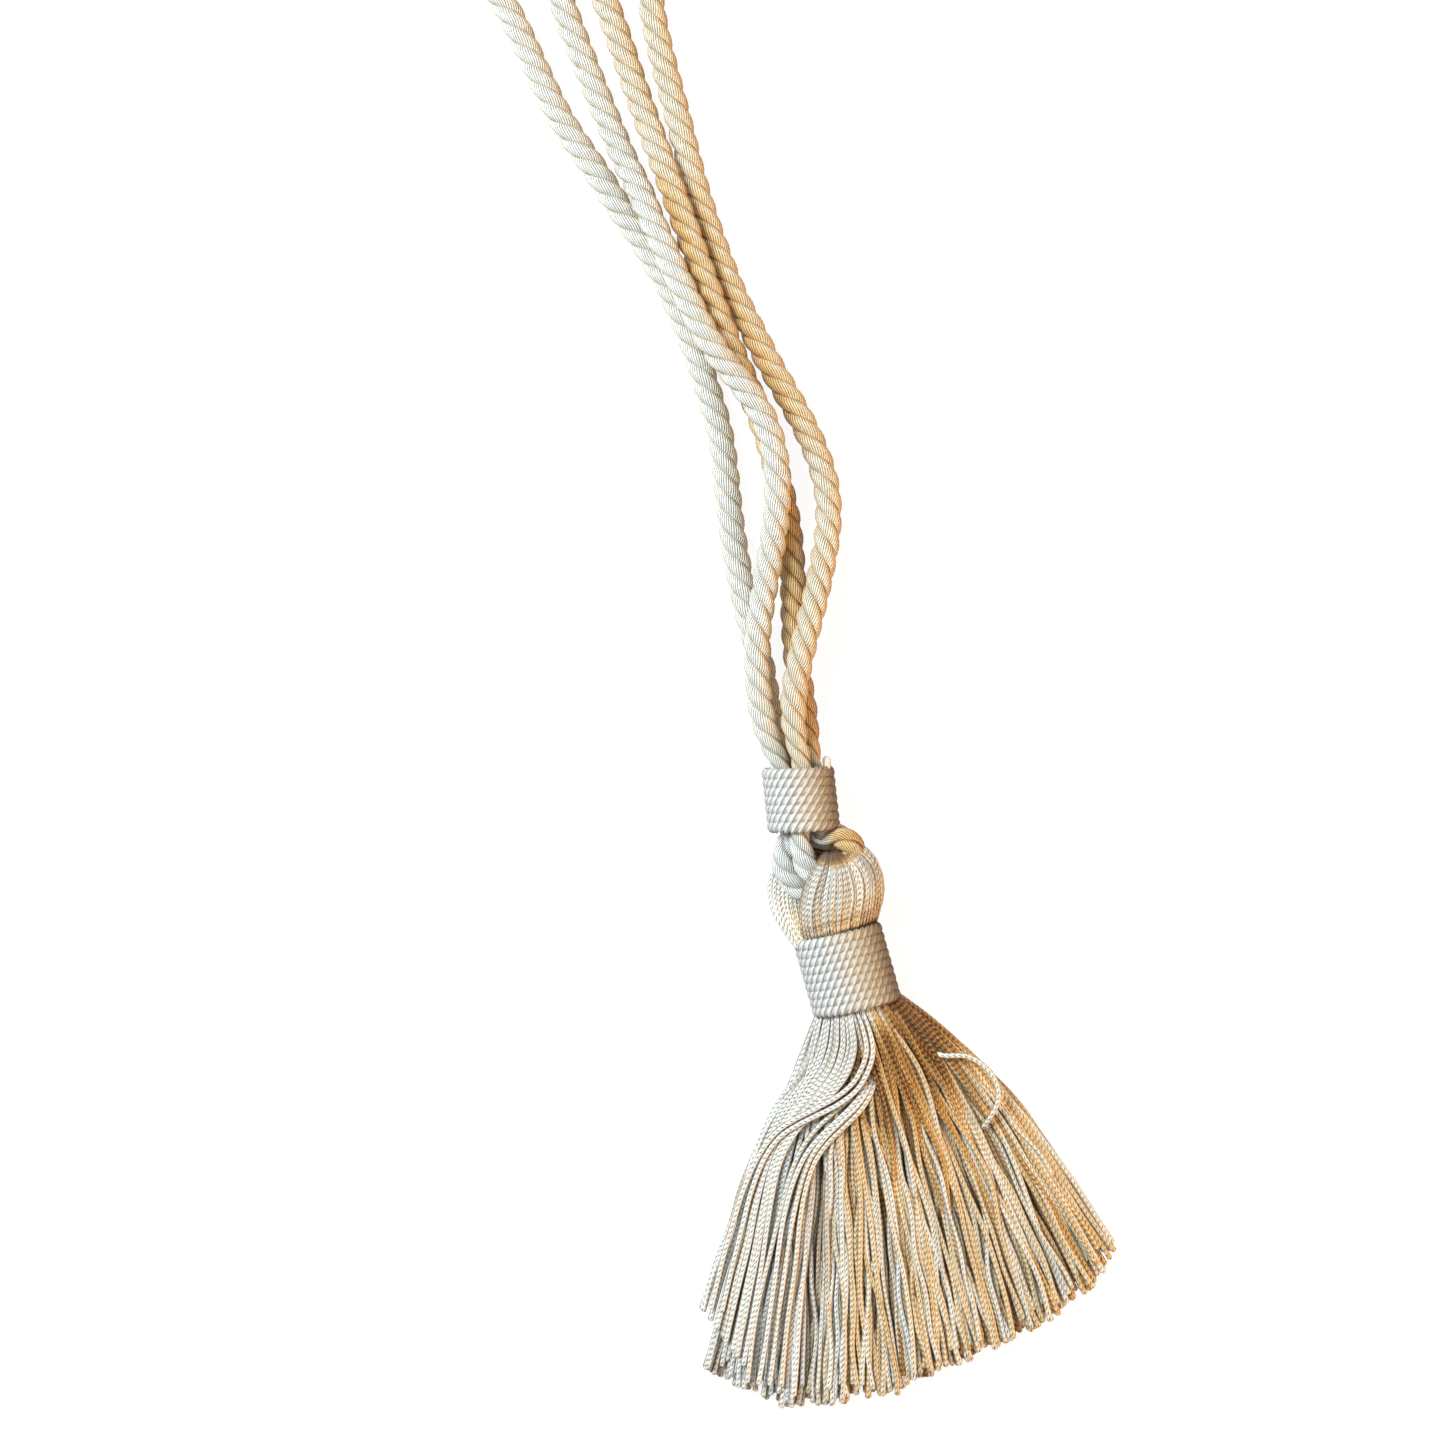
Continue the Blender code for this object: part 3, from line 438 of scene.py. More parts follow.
def add_piece(name, meshes, material, slot, *nodes):
    """Join the meshes and put them in the scene as one piece that stands for CAD nodes."""
    items = [bpy.data.objects.new(name, mesh) for mesh in meshes]
    for item in items:
        bpy.context.collection.objects.link(item)
    piece = items[0]
    if len(items) > 1:
        with bpy.context.temp_override(active_object=piece, selected_editable_objects=items):
            bpy.ops.object.join()
    piece.data.materials.clear()
    piece.data.materials.append(material)
    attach(piece, "root")
    if nodes:
        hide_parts(*nodes)
    return piece


# Materials

def on_wire(operation, turned=False):
    """A method that adds a Math node on the wire and another term, in turned order if asked."""
    def method(self, *others):
        return self.step(operation, *((*others, self) if turned else (self, *others)))
    return method


class Wire:
    """A node's output that takes plain arithmetic: each sign adds one Math node."""

    def __init__(self, tree, socket):
        self.tree, self.socket = tree, socket

    def step(self, operation, *terms):
        """A Math node on these terms."""
        node = self.tree.nodes.new("ShaderNodeMath")
        node.operation = operation
        for term, socket in zip(terms, node.inputs):
            connect(self.tree, term, socket)
        return Wire(self.tree, node.outputs[0])

    __add__, __radd__ = on_wire("ADD"), on_wire("ADD", True)
    __sub__, __rsub__ = on_wire("SUBTRACT"), on_wire("SUBTRACT", True)
    __mul__, __pow__, __abs__ = on_wire("MULTIPLY"), on_wire("POWER"), on_wire("ABSOLUTE")
    sine, cosine, fraction = on_wire("SINE"), on_wire("COSINE"), on_wire("FRACT")
    exponent, at_least, at_most = on_wire("EXPONENT"), on_wire("MAXIMUM"), on_wire("MINIMUM")


def connect(tree, source, socket):
    """Link a wire to a socket, or set the socket to a plain value."""
    if isinstance(source, Wire):
        tree.links.new(source.socket, socket)
    else:
        socket.default_value = source


class Recipe:
    """A procedural material, put together from nodes by short calls."""

    def __init__(self, name):
        self.material = bpy.data.materials.new(name)
        self.material.use_nodes = True
        self.tree = self.material.node_tree
        self.shader = self.tree.nodes["Principled BSDF"]

    def node(self, kind, sockets, **settings):
        """A node with its settings, and its sockets linked or set."""
        node = self.tree.nodes.new("ShaderNode" + kind)
        for name, value in settings.items():
            setattr(node, name, value)
        for name, value in sockets.items():
            connect(self.tree, value, node.inputs[name])
        return node

    def uv(self):
        """The skin's own u and v."""
        places = self.node("UVMap", {}, uv_map="UVMap").outputs["UV"]
        parts = self.node("SeparateXYZ", {0: Wire(self.tree, places)})
        return Wire(self.tree, parts.outputs[0]), Wire(self.tree, parts.outputs[1])

    def stored(self, label):
        """A value kept at the mesh's points: tone or shadow."""
        return Wire(self.tree, self.node("Attribute", {}, attribute_name=label).outputs["Fac"])

    def noise(self, scale, detail):
        """Noise in the piece's own space, from 0 to 1."""
        places = Wire(self.tree, self.node("TexCoord", {}).outputs["Object"])
        noise = self.node("TexNoise", {"Scale": scale, "Detail": detail, "Vector": places})
        return Wire(self.tree, noise.outputs["Fac"])

    def speckled(self, value, *speckles):
        """Add noise about its middle: its scale, detail and how much of it."""
        for scale, detail, size in speckles:
            value = value + (self.noise(scale, detail) - 0.5) * size
        return value

    def ramp(self, factor):
        """Colours between the tone stops."""
        node = self.node("ValToRGB", {0: factor})
        elements = node.color_ramp.elements
        while len(elements) < len(TONE_STOPS):
            elements.new(0.5)
        for element, (position, colour) in zip(elements, TONE_STOPS):
            element.position = position
            element.color = (*colour, 1.0)
        return Wire(self.tree, node.outputs[0])

    def shade(self, colour, amount, dark):
        """Multiply the colour by a darker one where the amount, held in 0 to 1, is 1."""
        held = amount.at_least(0.0).at_most(1.0)
        node = self.node("Mix", {"Factor": held, 6: colour, 7: (*dark, 1.0)},
                         data_type="RGBA", blend_type="MULTIPLY")
        return Wire(self.tree, node.outputs[2])

    def finish(self, colour, roughness, sheen, specular=0.5):
        """Give the shader its colour and finish."""
        for name, value in {"Base Color": colour, "Roughness": roughness, "Sheen Weight": sheen,
                            "Sheen Roughness": 0.4, "Specular IOR Level": specular}.items():
            connect(self.tree, value, self.shader.inputs[name])
        return self.material

    def skin(self, paleness, shades, relief, depth_mm, roughness, sheen):
        """The finished material: the tone's colour, darkened by pairs of an amount and a dark
        colour and by the stored shadow, with the relief as bump."""
        colour = self.ramp(paleness)
        for amount, dark in (*shades, (self.stored("shadow"), SHADOW)):
            colour = self.shade(colour, amount, dark)
        bump = self.node("Bump", {"Strength": 1.0, "Distance": depth_mm * MM, "Height": relief})
        self.tree.links.new(bump.outputs[0], self.shader.inputs["Normal"])
        return self.finish(colour, roughness, sheen)


def rope_satin():
    """Satin rope: fine threads wind round each strand and lean against the lay.

    Threads are |sin(pi (v / pitch + n u))| ridges, n of them round a strand, with painted shade
    where they part, unevenly. d = sin(2 pi u) is 1 at the strand's outermost line, and painted
    shade darkens the groove between strands as 4.5 (0.34 - d).
    """
    recipe = Recipe("rope_satin")
    u, v = recipe.uv()
    thread = abs(((v * (1 / THREAD_PITCH) + u * THREAD_TURNS) * math.pi).sine())
    # Painted shade in the groove between strands
    groove = (GROOVE_STARTS - (u * math.tau).sine()) * 4.5
    paleness = recipe.speckled(recipe.stored("tone"), (900.0, 3.0, 0.20), (160.0, 2.0, 0.10))
    # Painted shade where the threads part
    uneven = (1.0 - thread) ** 1.2 * (0.35 + recipe.noise(500.0, 1.0) * 1.6)
    shades = (uneven, (0.25, 0.23, 0.18)), (groove, (0.33, 0.21, 0.09))
    return recipe.skin(paleness, shades, thread, 0.22, roughness=0.34, sheen=0.2)


def binding_cord():
    """Plied cord. w = 0 to 1 is the place across a ply: fine threads are sin(6 turns of w,
    and slowly along v), and painted shade darkens the groove between plies as |2 w - 1| ^ 2.7."""
    recipe = Recipe("binding_cord")
    u, v = recipe.uv()
    w = (u * CORD_PLIES).fraction()
    groove = abs(w * 2.0 - 1.0) ** 2.7
    threads = (w * (6 * math.tau) + v * 1.3).sine()
    paleness = recipe.speckled(recipe.stored("tone") + threads * 0.05, (1200.0, 3.0, 0.25),
                               (220.0, 2.0, 0.25))
    shades = [(groove, (0.27, 0.17, 0.085))]
    return recipe.skin(paleness, shades, threads, 0.08, roughness=0.40, sheen=0.25)


def chainette_yarn():
    """Chainette: a flat knitted cord. Two pale columns run along each face, and between
    them a short dark slit opens in every stitch.

    c = cos(2 pi u) is the place across a face, p = -0.5 to 0.5 the place along a stitch.
    The slit is exp(-((c - 0.8 p) / 0.24)^2 - (p / 0.30)^2). Leaning waves |cos| along the
    stitches vary the tone as painted highlight and shade, and their sixth power parts the
    stitches in thin lines of painted shade where |c| is near 1. Painted shade darkens the
    yarn's edges as |c| ^ 3.
    """
    recipe = Recipe("chainette_yarn")
    u, v = recipe.uv()
    c = (u * math.tau).cosine()
    stitches = v * (1 / STITCH_PITCH)
    p = stitches.fraction() - 0.5
    across = (c - p * SLIT_LEAN) * (1 / SLIT_SIZE[0])
    length = p * (1 / SLIT_SIZE[1])
    slit = ((across * across + length * length) * -1.0).exponent()
    waves = abs(((stitches + abs(c) * 0.45) * math.pi).cosine())
    parting = waves ** 6.0 * (c * c)
    paleness = recipe.stored("tone") - slit * 0.20 + (waves - 0.5) * -0.38
    paleness = recipe.speckled(paleness, (700.0, 2.0, 0.22))
    # Colour of the painted shade in the stitches' partings and at the yarn's edges
    painted_shade_colour = (0.50, 0.44, 0.36)
    shades = (slit, (0.14, 0.11, 0.08)), (parting, painted_shade_colour), (abs(c) ** 3.0, painted_shade_colour)
    return recipe.skin(paleness, shades, 1.0 - slit - parting * 0.3, 0.25, roughness=0.38,
                       sheen=0.3)


# Ropes

def held_in_binding(route):
    """True for the points on the straight stretches at both ends, which stay where they are."""
    distance = travelled(route)
    return np.minimum(distance, distance[-1] - distance) < UPPER_LENGTH / 2 + MOUTH_LEAD


def soft_route(points, step, passes):
    """Even steps through the given points, softened: each pass moves every point half way
    to the middle of its two neighbours."""
    route = even_steps(points, step)
    held = held_in_binding(route)
    for _ in range(passes):
        middle = (np.roll(route, 1, axis=0) + np.roll(route, -1, axis=0)) / 2
        route = np.where(held[:, None], route, (route + middle) / 2)
    return even_steps(route, step)


def settle(routes, radii):
    """Push apart ropes that lie too close, and up off the surface, as they settle.

    Every round moves each pair of points that are too near a share of what they lack, spreads
    the moves along the ropes by averaging them with their neighbours', and adds them.
    """
    sizes = [len(route) for route in routes]
    points = np.vstack(routes)
    radius = np.concatenate(radii)
    rope = np.repeat(np.arange(len(routes)), sizes)
    distance = np.concatenate([travelled(route) for route in routes])
    held = np.concatenate([held_in_binding(route) for route in routes])
    need = radius[:, None] + radius[None, :] + ROUTE_CLEARANCE
    neighbours = (rope[:, None] == rope[None, :]) & (
        np.abs(distance[:, None] - distance[None, :]) < 3 * ROPE_RADIUS)
    need[neighbours] = 0.0
    index = np.arange(len(rope))
    before = np.where(np.roll(rope, 1) == rope, index - 1, index)
    after = np.where(np.roll(rope, -1) == rope, index + 1, index)
    for _ in range(SETTLING_ROUNDS):
        gap = points[:, None] - points[None, :]
        far = np.linalg.norm(gap, axis=2)
        lack = np.clip(need - far, 0.0, None)
        far[far < WELD] = 1.0
        move = SETTLING_SHARE * (lack / far)[:, :, None] * gap
        move = move.sum(axis=1)
        move[held] = 0.0
        for _ in range(2):
            move = (move[before] + 2 * move + move[after]) / 4
            move[held] = 0.0
        points = points + move
        points[:, 2] = np.maximum(points[:, 2], radius + FLOOR_GAP)
    return np.split(points, np.cumsum(sizes)[:-1])


def axis_height(bore, flattening=1.0):
    """Height of a binding's axis: its lowest turn is pressed a little flat on the surface."""
    return flattening * (bore + CORD_THICKNESS - TURN_GROOVE) - FLAT_DEPTH


def seat(angle, end):
    """Points on a rope's straight stretch inside the upper binding, at an angle about its
    axis. end is 1 for the loops and -1 for the eye ropes."""
    turn = math.radians(angle)
    across = CLUSTER_RADIUS * math.cos(turn)
    height = axis_height(UPPER_BORE) + CLUSTER_RADIUS * math.sin(turn)
    return [tuple(place(UPPER_CENTRE, UPPER_TILT, end * along, across, height))
            for along in (PIECE_GAP / 2, UPPER_LENGTH / 2 + MOUTH_LEAD)]


def rope_radii(distance, radius, squeeze_length):
    """Radius along a rope that is squeezed in the binding at both ends, and eases out of it."""
    ends = np.minimum(distance, distance[-1] - distance) - UPPER_LENGTH / 2 - MOUTH_LEAD
    return BOUND_ROPE_RADIUS + (radius - BOUND_ROPE_RADIUS) * ease(ends / squeeze_length)


def lifted(route):
    """The front eye rope's right leg, moved up a little to where the photo shows it."""
    move = ease((route[:, 0] + 8.0) / 5.0) * ease((route[:, 1] - 27.0) / 6.0)
    return route + move[:, None] * np.array([0.8, 1.6, 0.0])


def rope_routes():
    """Settled routes of the four ropes, by name."""
    step = ROPE_LAY / STEPS_PER_LAY
    loops, eyes = (LOOP_SEATS, 1), (EYE_SEATS, -1)
    table = {
        "loop_left": (LOOP_LEFT_ROUTE, loops, "left_front", "left_back"),
        "loop_right": (LOOP_RIGHT_ROUTE, loops, "right_front", "right_back"),
        "eye_rope_left": (EYE_LEFT_ROUTE, eyes, "left_outer", "right_outer"),
        "eye_rope_right": (EYE_RIGHT_ROUTE, eyes, "left_inner", "right_inner")}
    routes, radii = [], []
    for name, (hand_points, (seats, end), first, last) in table.items():
        is_eye = name.startswith("eye")
        points = seat(seats[first], end) + hand_points + seat(seats[last], end)[::-1]
        route = soft_route(points, step, EYE_SOFTENING if is_eye else SOFTENING)
        routes.append(route)
        radii.append(rope_radii(travelled(route), EYE_ROPE_RADIUS if is_eye else ROPE_RADIUS,
                                EYE_SQUEEZE_LENGTH if is_eye else SQUEEZE_LENGTH))
    return dict(zip(table, settle(routes, radii)))


def rope_painted_shade_tone(pale, beside):
    """Tone of a rope's skin with painted shade by where it faces: pale, less a share of how far
    it faces right, less beside where it faces left, and less in an outline where it turns from
    the top."""
    def tone(facing):
        rightwards = np.maximum(facing[..., 0], 0) ** 1.5
        leftwards = beside * np.clip(0.35 - facing[..., 0], 0, 1)
        return (pale - RIGHT_SHADE * rightwards - leftwards
                - OUTLINE_SHADE * turned_away(facing, OUTLINE_WIDTH))
    return tone


def rope_mesh(name, route, radius, squeeze_length, pale, painted_side_shade=0.0):
    """A rope of three round strands laid together, and a thin cord in each groove.

    A strand's middle line is route + r (side cos a + top sin a), a = 2 pi (v / lay + k / 3),
    where side = tangent x up and top = side x tangent of the route. The groove cords lie
    half way between the strands. A long route's close points are thinned out first.
    """
    fine = smooth_curve(route[::2] if len(route) > LONG_ROUTE else route, ROPE_RING_STEP)
    along = travelled(fine)
    radii = rope_radii(along, radius, squeeze_length)
    tangent = unit(np.gradient(fine, axis=0))
    side = unit(np.cross(tangent, UP))
    top = np.cross(side, tangent)
    pale = pale(fine)[:, None] if callable(pale) else pale
    low, high = SIDE_BY_SIDE
    # Painted warm shade on the left of the skin, where the loops lie side by side
    beside = painted_side_shade * (ease((fine[:, 1] - low) / SIDE_EASE)
                     * ease((high - fine[:, 1]) / SIDE_EASE))
    meshes = []
    # Strands, then the groove cords, whose tone is lowered by painted shade in the groove
    for offset, thickness, sides, shift, fade in (
            (STRAND_OFFSET, STRAND_RADIUS, 16, 0.0, 0.0),
            (FILLER_OFFSET, FILLER_RADIUS, 6, 0.5, FILLER_PAINTED_SHADE)):
        turned = (np.arange(ROPE_STRANDS)[:, None] + shift) / ROPE_STRANDS
        angle = math.tau * (along / ROPE_LAY + turned)
        outward = np.cos(angle)[..., None] * side + np.sin(angle)[..., None] * top
        centres = fine + (offset * radii)[:, None] * outward
        width = thickness * radii
        meshes.append(tube_mesh(name, centres, outward, np.ones(angle.shape + (sides,)), width,
                                width, along, rope_painted_shade_tone(pale - fade, beside[:, None])))
    return meshes


def right_loop_tone(points):
    """Cream, with golden painted shade on the leg that lies behind,
    from its crossing down to the binding.
    """
    x, y, z = points.T
    behind = ease((160.0 - y) / 15.0) * ease((8.0 - z) / 3.0) * ease((-8.0 - x) / 3.0)
    return RIGHT_LOOP_TONE - 0.27 * behind


def eye_rope_tone(points):
    """White on the left legs, with golden painted shade where the right legs turn down into the
    eye.
    """
    return EYE_ROPE_TONE - 0.58 * ease((points[:, 0] + 10.0) / 8.0)


# Bindings

def ply_outline(offset, radius, rings):
    """Outline of plies side by side, as the reach at each of the cord's angles.

    Within a ply's share of the turn, reach = offset cos(a) + sqrt(radius^2 - offset^2 sin(a)^2).
    """
    share = math.tau / CORD_PLIES
    turn = math.tau * np.arange(BINDING_CORD_SIDES) / BINDING_CORD_SIDES
    local = (turn + share / 2) % share - share / 2
    reach = offset * np.cos(local) + np.sqrt(radius ** 2 - (offset * np.sin(local)) ** 2)
    return np.broadcast_to(reach, (1, rings, BINDING_CORD_SIDES))


def binding_mesh(name, centre, tilt, bore, length, turns, flattening):
    """A whipping cord of three plies on a helix round an oval, pressed flat where it rests.

    Its middle line runs from the top edge to the bottom: across = r cos(a), height = axis +
    f r sin(a), along = L / 2 - pitch (a / 2 pi), r the bore plus half the cord. Each turn's
    plies are a share of a ply behind the last turn's, so that they join up in slanting rows.
    As painted shade, tone falls from left to right by ease(across / r), and the painted shadow
    grows by its square towards the right edge and by its fourth power towards the left.
    """
    reach = bore + CORD_THICKNESS / 2
    turned = np.linspace(0.0, turns, turns * 120)
    angle = -math.pi / 2 - math.tau * turned
    middle_height = axis_height(bore, flattening)
    along = length / 2 - length / turns * turned
    across = reach * np.cos(angle)
    height = np.maximum(middle_height + flattening * reach * np.sin(angle), BINDING_CORD_HEIGHT)
    path = place(centre, tilt, along, across, height)
    middle = place(centre, tilt, along, 0.0, middle_height)
    distance = travelled(path)
    wanted = np.arange(0.0, distance[-1], 0.4)
    path, middle = read_at(wanted, distance, path), read_at(wanted, distance, middle)
    aside = np.interp(wanted, distance, across / reach)
    one_turn = distance[-1] / turns
    lay = CORD_PLIES * one_turn / (round(one_turn / PLY_PITCH) + PLY_SHIFT)
    # Painted shade: darker and more golden to the right, with a painted shadow at both edges
    tone = BINDING_TONE - 0.34 * ease((aside + 0.75) / 1.6)
    shadow = 0.95 * np.clip(aside, 0, 1) ** 2.0 + 0.12 * np.clip(-aside, 0, 1) ** 4
    return tube_mesh(name, path[None], unit(path - middle), ply_outline(0.45, 0.55, len(path)),
                     BINDING_CORD_WIDTH, BINDING_CORD_HEIGHT, wanted, tone, shadow,
                     math.tau * wanted / lay)


def cord_end_mesh(name):
    """The whipping cord's short cut end: radius = r sqrt(1 - (2t - 1)^4), a blunt spindle."""
    t = np.linspace(0.0, 1.0, 16)
    along, across, rise = CORD_END_START
    centres = place(UPPER_CENTRE, UPPER_TILT, along + CORD_END_LENGTH * t,
                    across + CORD_END_LEAN * t, axis_height(UPPER_BORE) + rise)
    radius = CORD_END_RADIUS * np.sqrt(np.clip(1 - (2 * t - 1) ** 4, 0.02, 1))
    return tube_mesh(name, centres[None], UP, ply_outline(0.3, 0.7, len(t)), radius, radius,
                     CORD_END_LENGTH * t, CORD_END_TONE)


# Yarns of the head

def head_section(along):
    """The folded head's middle, half width and half height at places along the neck's axis."""
    return (np.interp(along, HEAD_ROWS[:, 0], HEAD_ROWS[:, k]) for k in (1, 2, 3))


def head_top(along, across):
    """Height of the folded head's front: half height (1 + sqrt(1 - s s)), s the place across
    as a share of the half width."""
    aside, half_width, half_height = head_section(along)
    share = np.clip((across - aside) / half_width, -0.99, 0.99)
    return half_height - FLAT_DEPTH + half_height * np.sqrt(1 - share ** 2)


def bezier(start, leave, arrive, end, t):
    """Cubic Bezier curves, one for each row of control points, read at the shares t."""
    t = t[None, :, None]
    return ((1 - t) ** 3 * start[:, None] + 3 * t * (1 - t) ** 2 * leave[:, None]
            + 3 * t * t * (1 - t) * arrive[:, None] + t ** 3 * end[:, None])


def yarn_tubes(name, centres, width, height, tone, start, sides=12, shadow=0.0,
               edge_shadow=EDGE_SHADOW, up=UP):
    """Yarns along middle lines, with v as the length along each from its start.

    A shadow lies where a yarn's skin turns away from the top, and the stitch pattern rolls
    slowly round it: roll = a sin(2 pi (v / l + b)).
    """
    count, rings, _ = centres.shape
    rng = np.random.default_rng(count)
    steps = np.linalg.norm(np.diff(centres, axis=1), axis=2)
    along = np.concatenate([np.zeros((count, 1)), np.cumsum(steps, axis=1)], axis=1)
    roll = chance_wave(rng, count, 0.07, along / 45.0)

    def shading(facing):
        away = turned_away(facing, EDGE_WIDTH)
        return np.asarray(shadow)[..., None] + np.asarray(edge_shadow)[..., None] * away

    return tube_mesh(name, centres, up, np.full((count, rings, sides), 0.5), width, height,
                     along + np.reshape(start, (-1, 1)), tone, shading, roll=roll)


def front_yarns(name, count, lower, pale, seed, first=0.0, last=1.0, shadow=0.0):
    """Yarns that come up through the eye and fan over the head's front to the neck.

    In plan each is a Bezier curve from the eye's middle; its height is the head's front,
    less a funnel: depth * (1 - ease(q)), q the distance from the eye as a share of its size.
    Close to the binding they stay a little higher, so that they meet its rim. As painted shade,
    tone falls towards the lower right and down the funnel, where the painted shadows fade in
    turn.
    """
    rng = np.random.default_rng(seed)
    share = first + (last - first) * (np.arange(count) + 0.5) / count
    out = heading(FAN_START + FAN_SPREAD * share)
    start = EYE_MIDDLE + 0.25 * out * EYE_HALF
    leave = start + out * (8.5 + 6.5 * share)[:, None]
    swell, end = (on_neck(along, left + spread * share, 0.0)[:, :2]
                  for along, left, spread in (SWELL_ROW, NECK_ROW))
    t = np.linspace(0.0, 1.0, 80)
    plan = bezier(start, leave, swell, end, t)
    waver = chance_wave(rng, count, 0.14, 1.7 * t) * np.sin(math.pi * t)
    plan = plan + waver[..., None] * left_of(plan)

    from_eye = np.linalg.norm((plan - EYE_MIDDLE) / EYE_HALF, axis=2)
    funnel = 1 - ease((from_eye - 0.3) / 1.15)
    uneven = 0.3 * rng.standard_normal((count, 1))
    across, along = (plan @ direction[:2] for direction in axis_frame(NECK_TILT))
    height = head_top(along, across) - 0.8 - EYE_DEPTH * funnel - lower + uneven
    aside = np.clip(across / NECK_RIM, -1, 1)
    height = height + 1.8 * ease((15.5 - along) / 3.5) * np.sqrt(1 - aside ** 2)
    centres = np.concatenate([plan, np.maximum(height, EYE_FLOOR)[..., None]], axis=2)
    width = 0.45 + 0.55 * np.sin(math.pi * np.clip(t * 0.98 + 0.02, 0, 1)) ** 0.8

    low_right = ease((t - 0.45) / 0.5) * (0.55 + 0.45 * share[:, None])
    depth = 1 - ease((from_eye - 0.9) / 0.9)
    tone = pale - 0.42 * low_right - 0.08 * share[:, None] - 0.82 * depth
    tone = np.clip(tone + 0.07 * rng.standard_normal((count, 1)), 0.17, 1.1)
    upper_part = 1 - 0.8 * ease((t - 0.35) / 0.4)
    shadow = shadow + 0.06 + 0.52 * rng.random((count, 1)) * upper_part
    return yarn_tubes(name, centres, width * HEAD_YARN_WIDTH, HEAD_YARN_HEIGHT, tone,
                      rng.random(count) * 3, shadow=shadow * (1 - 0.6 * depth),
                      edge_shadow=EDGE_SHADOW * (1 - 0.8 * depth))


def eye_yarns(name, count):
    """Yarns deep in the eye, nearly straight, from the back of the head to the binding,
    in a low tone that paints the shade in the eye.
    """
    rng = np.random.default_rng(10)
    t = np.linspace(0.0, 1.0, 20)
    share = ((np.arange(count) + 0.5) / count)[:, None]
    across = -14.0 + 11.0 * share + 1.5 * (0.5 - share) * t
    height = 2.4 + 0.5 * np.sin(math.pi * (t + 0.3 * rng.standard_normal((count, 1))))
    centres = np.stack(np.broadcast_arrays(across, 22.0 + 19.0 * t, height), axis=2)
    tone = 0.2 + 0.08 * rng.standard_normal((count, 1))
    return yarn_tubes(name, centres, 1.9, 1.9, tone, 0.0, sides=8)


def left_yarns(name, count, lower, pale):
    """Yarns of the hank's back half, seen left of the eye ropes on their way to the neck:
    point = edge (1 - s) + inner s at equal shares, with a low crown across them."""
    rng = np.random.default_rng(9)
    share = (np.arange(count) + 0.5) / count
    t = np.linspace(0.0, 1.0, 40)
    edge, inner = (shares_along(photo_line(rows), t)
                   for rows in (LEFT_YARN_EDGE, LEFT_YARN_INNER))
    centres = edge * (1 - share)[:, None, None] + inner * share[:, None, None]
    centres[..., 2] += 0.8 * np.sin(math.pi * share)[:, None] - lower
    tone = pale - 0.4 * share[:, None] * ease(t / 0.8)
    tone = tone + 0.05 * rng.standard_normal((count, 1))
    width = 1.15 + 0.6 * np.sin(math.pi * t) ** 0.7
    return yarn_tubes(name, centres, width, HEAD_YARN_HEIGHT, tone, rng.random(count) * 3)


def side_yarns(name, count, first, last, left_limit, inset, pale):
    """Yarns round the rest of the head: across = middle + w cos(a), height = h + h sin(a),
    on the oval rows of the CAD's head, inset a little. At the left they stay low. Right of the
    middle their tone is lower, as painted shade."""
    rng = np.random.default_rng(8)
    angle = np.radians(np.linspace(first, last, count))[:, None]
    along = 10.0 + np.linspace(0.0, 1.0, 34) * (HEAD_ROWS[-1, 0] - 10.0)
    aside, half_width, half_height = head_section(along)
    across = aside + (half_width - inset) * np.cos(angle)
    height = half_height - FLAT_DEPTH + (half_height - inset) * np.sin(angle)
    height = np.clip(height, 0.95, np.where(across < 4.0, left_limit, 30.0))
    centres = on_neck(along, across, height)
    # A hair's breadth keeps the direction real where a yarn meets the middle line
    outward = unit(centres - on_neck(along, aside, half_height) + 1e-3)
    tone = pale - 0.2 * (across > 0) + 0.05 * rng.standard_normal((count, 1))
    return yarn_tubes(name, centres, 1.9, 1.7, tone, rng.random(count) * 3, 8, up=outward)


# Fringe

def tip_shape(t, length):
    """Width along strands of a length: a little fuller towards the end, which is cut blunt."""
    left = (1 - t) * np.reshape(length, (-1, 1))
    return (1 + 0.12 * np.exp(-(left / 2.0) ** 2)) * (0.55 + 0.45 * ease(left / 0.35))


def strand_steps(rings):
    """Shares of a strand's length for its rings: even, with one more just before the cut."""
    return np.append(np.linspace(0.0, 0.996, rings - 1), 1.0)


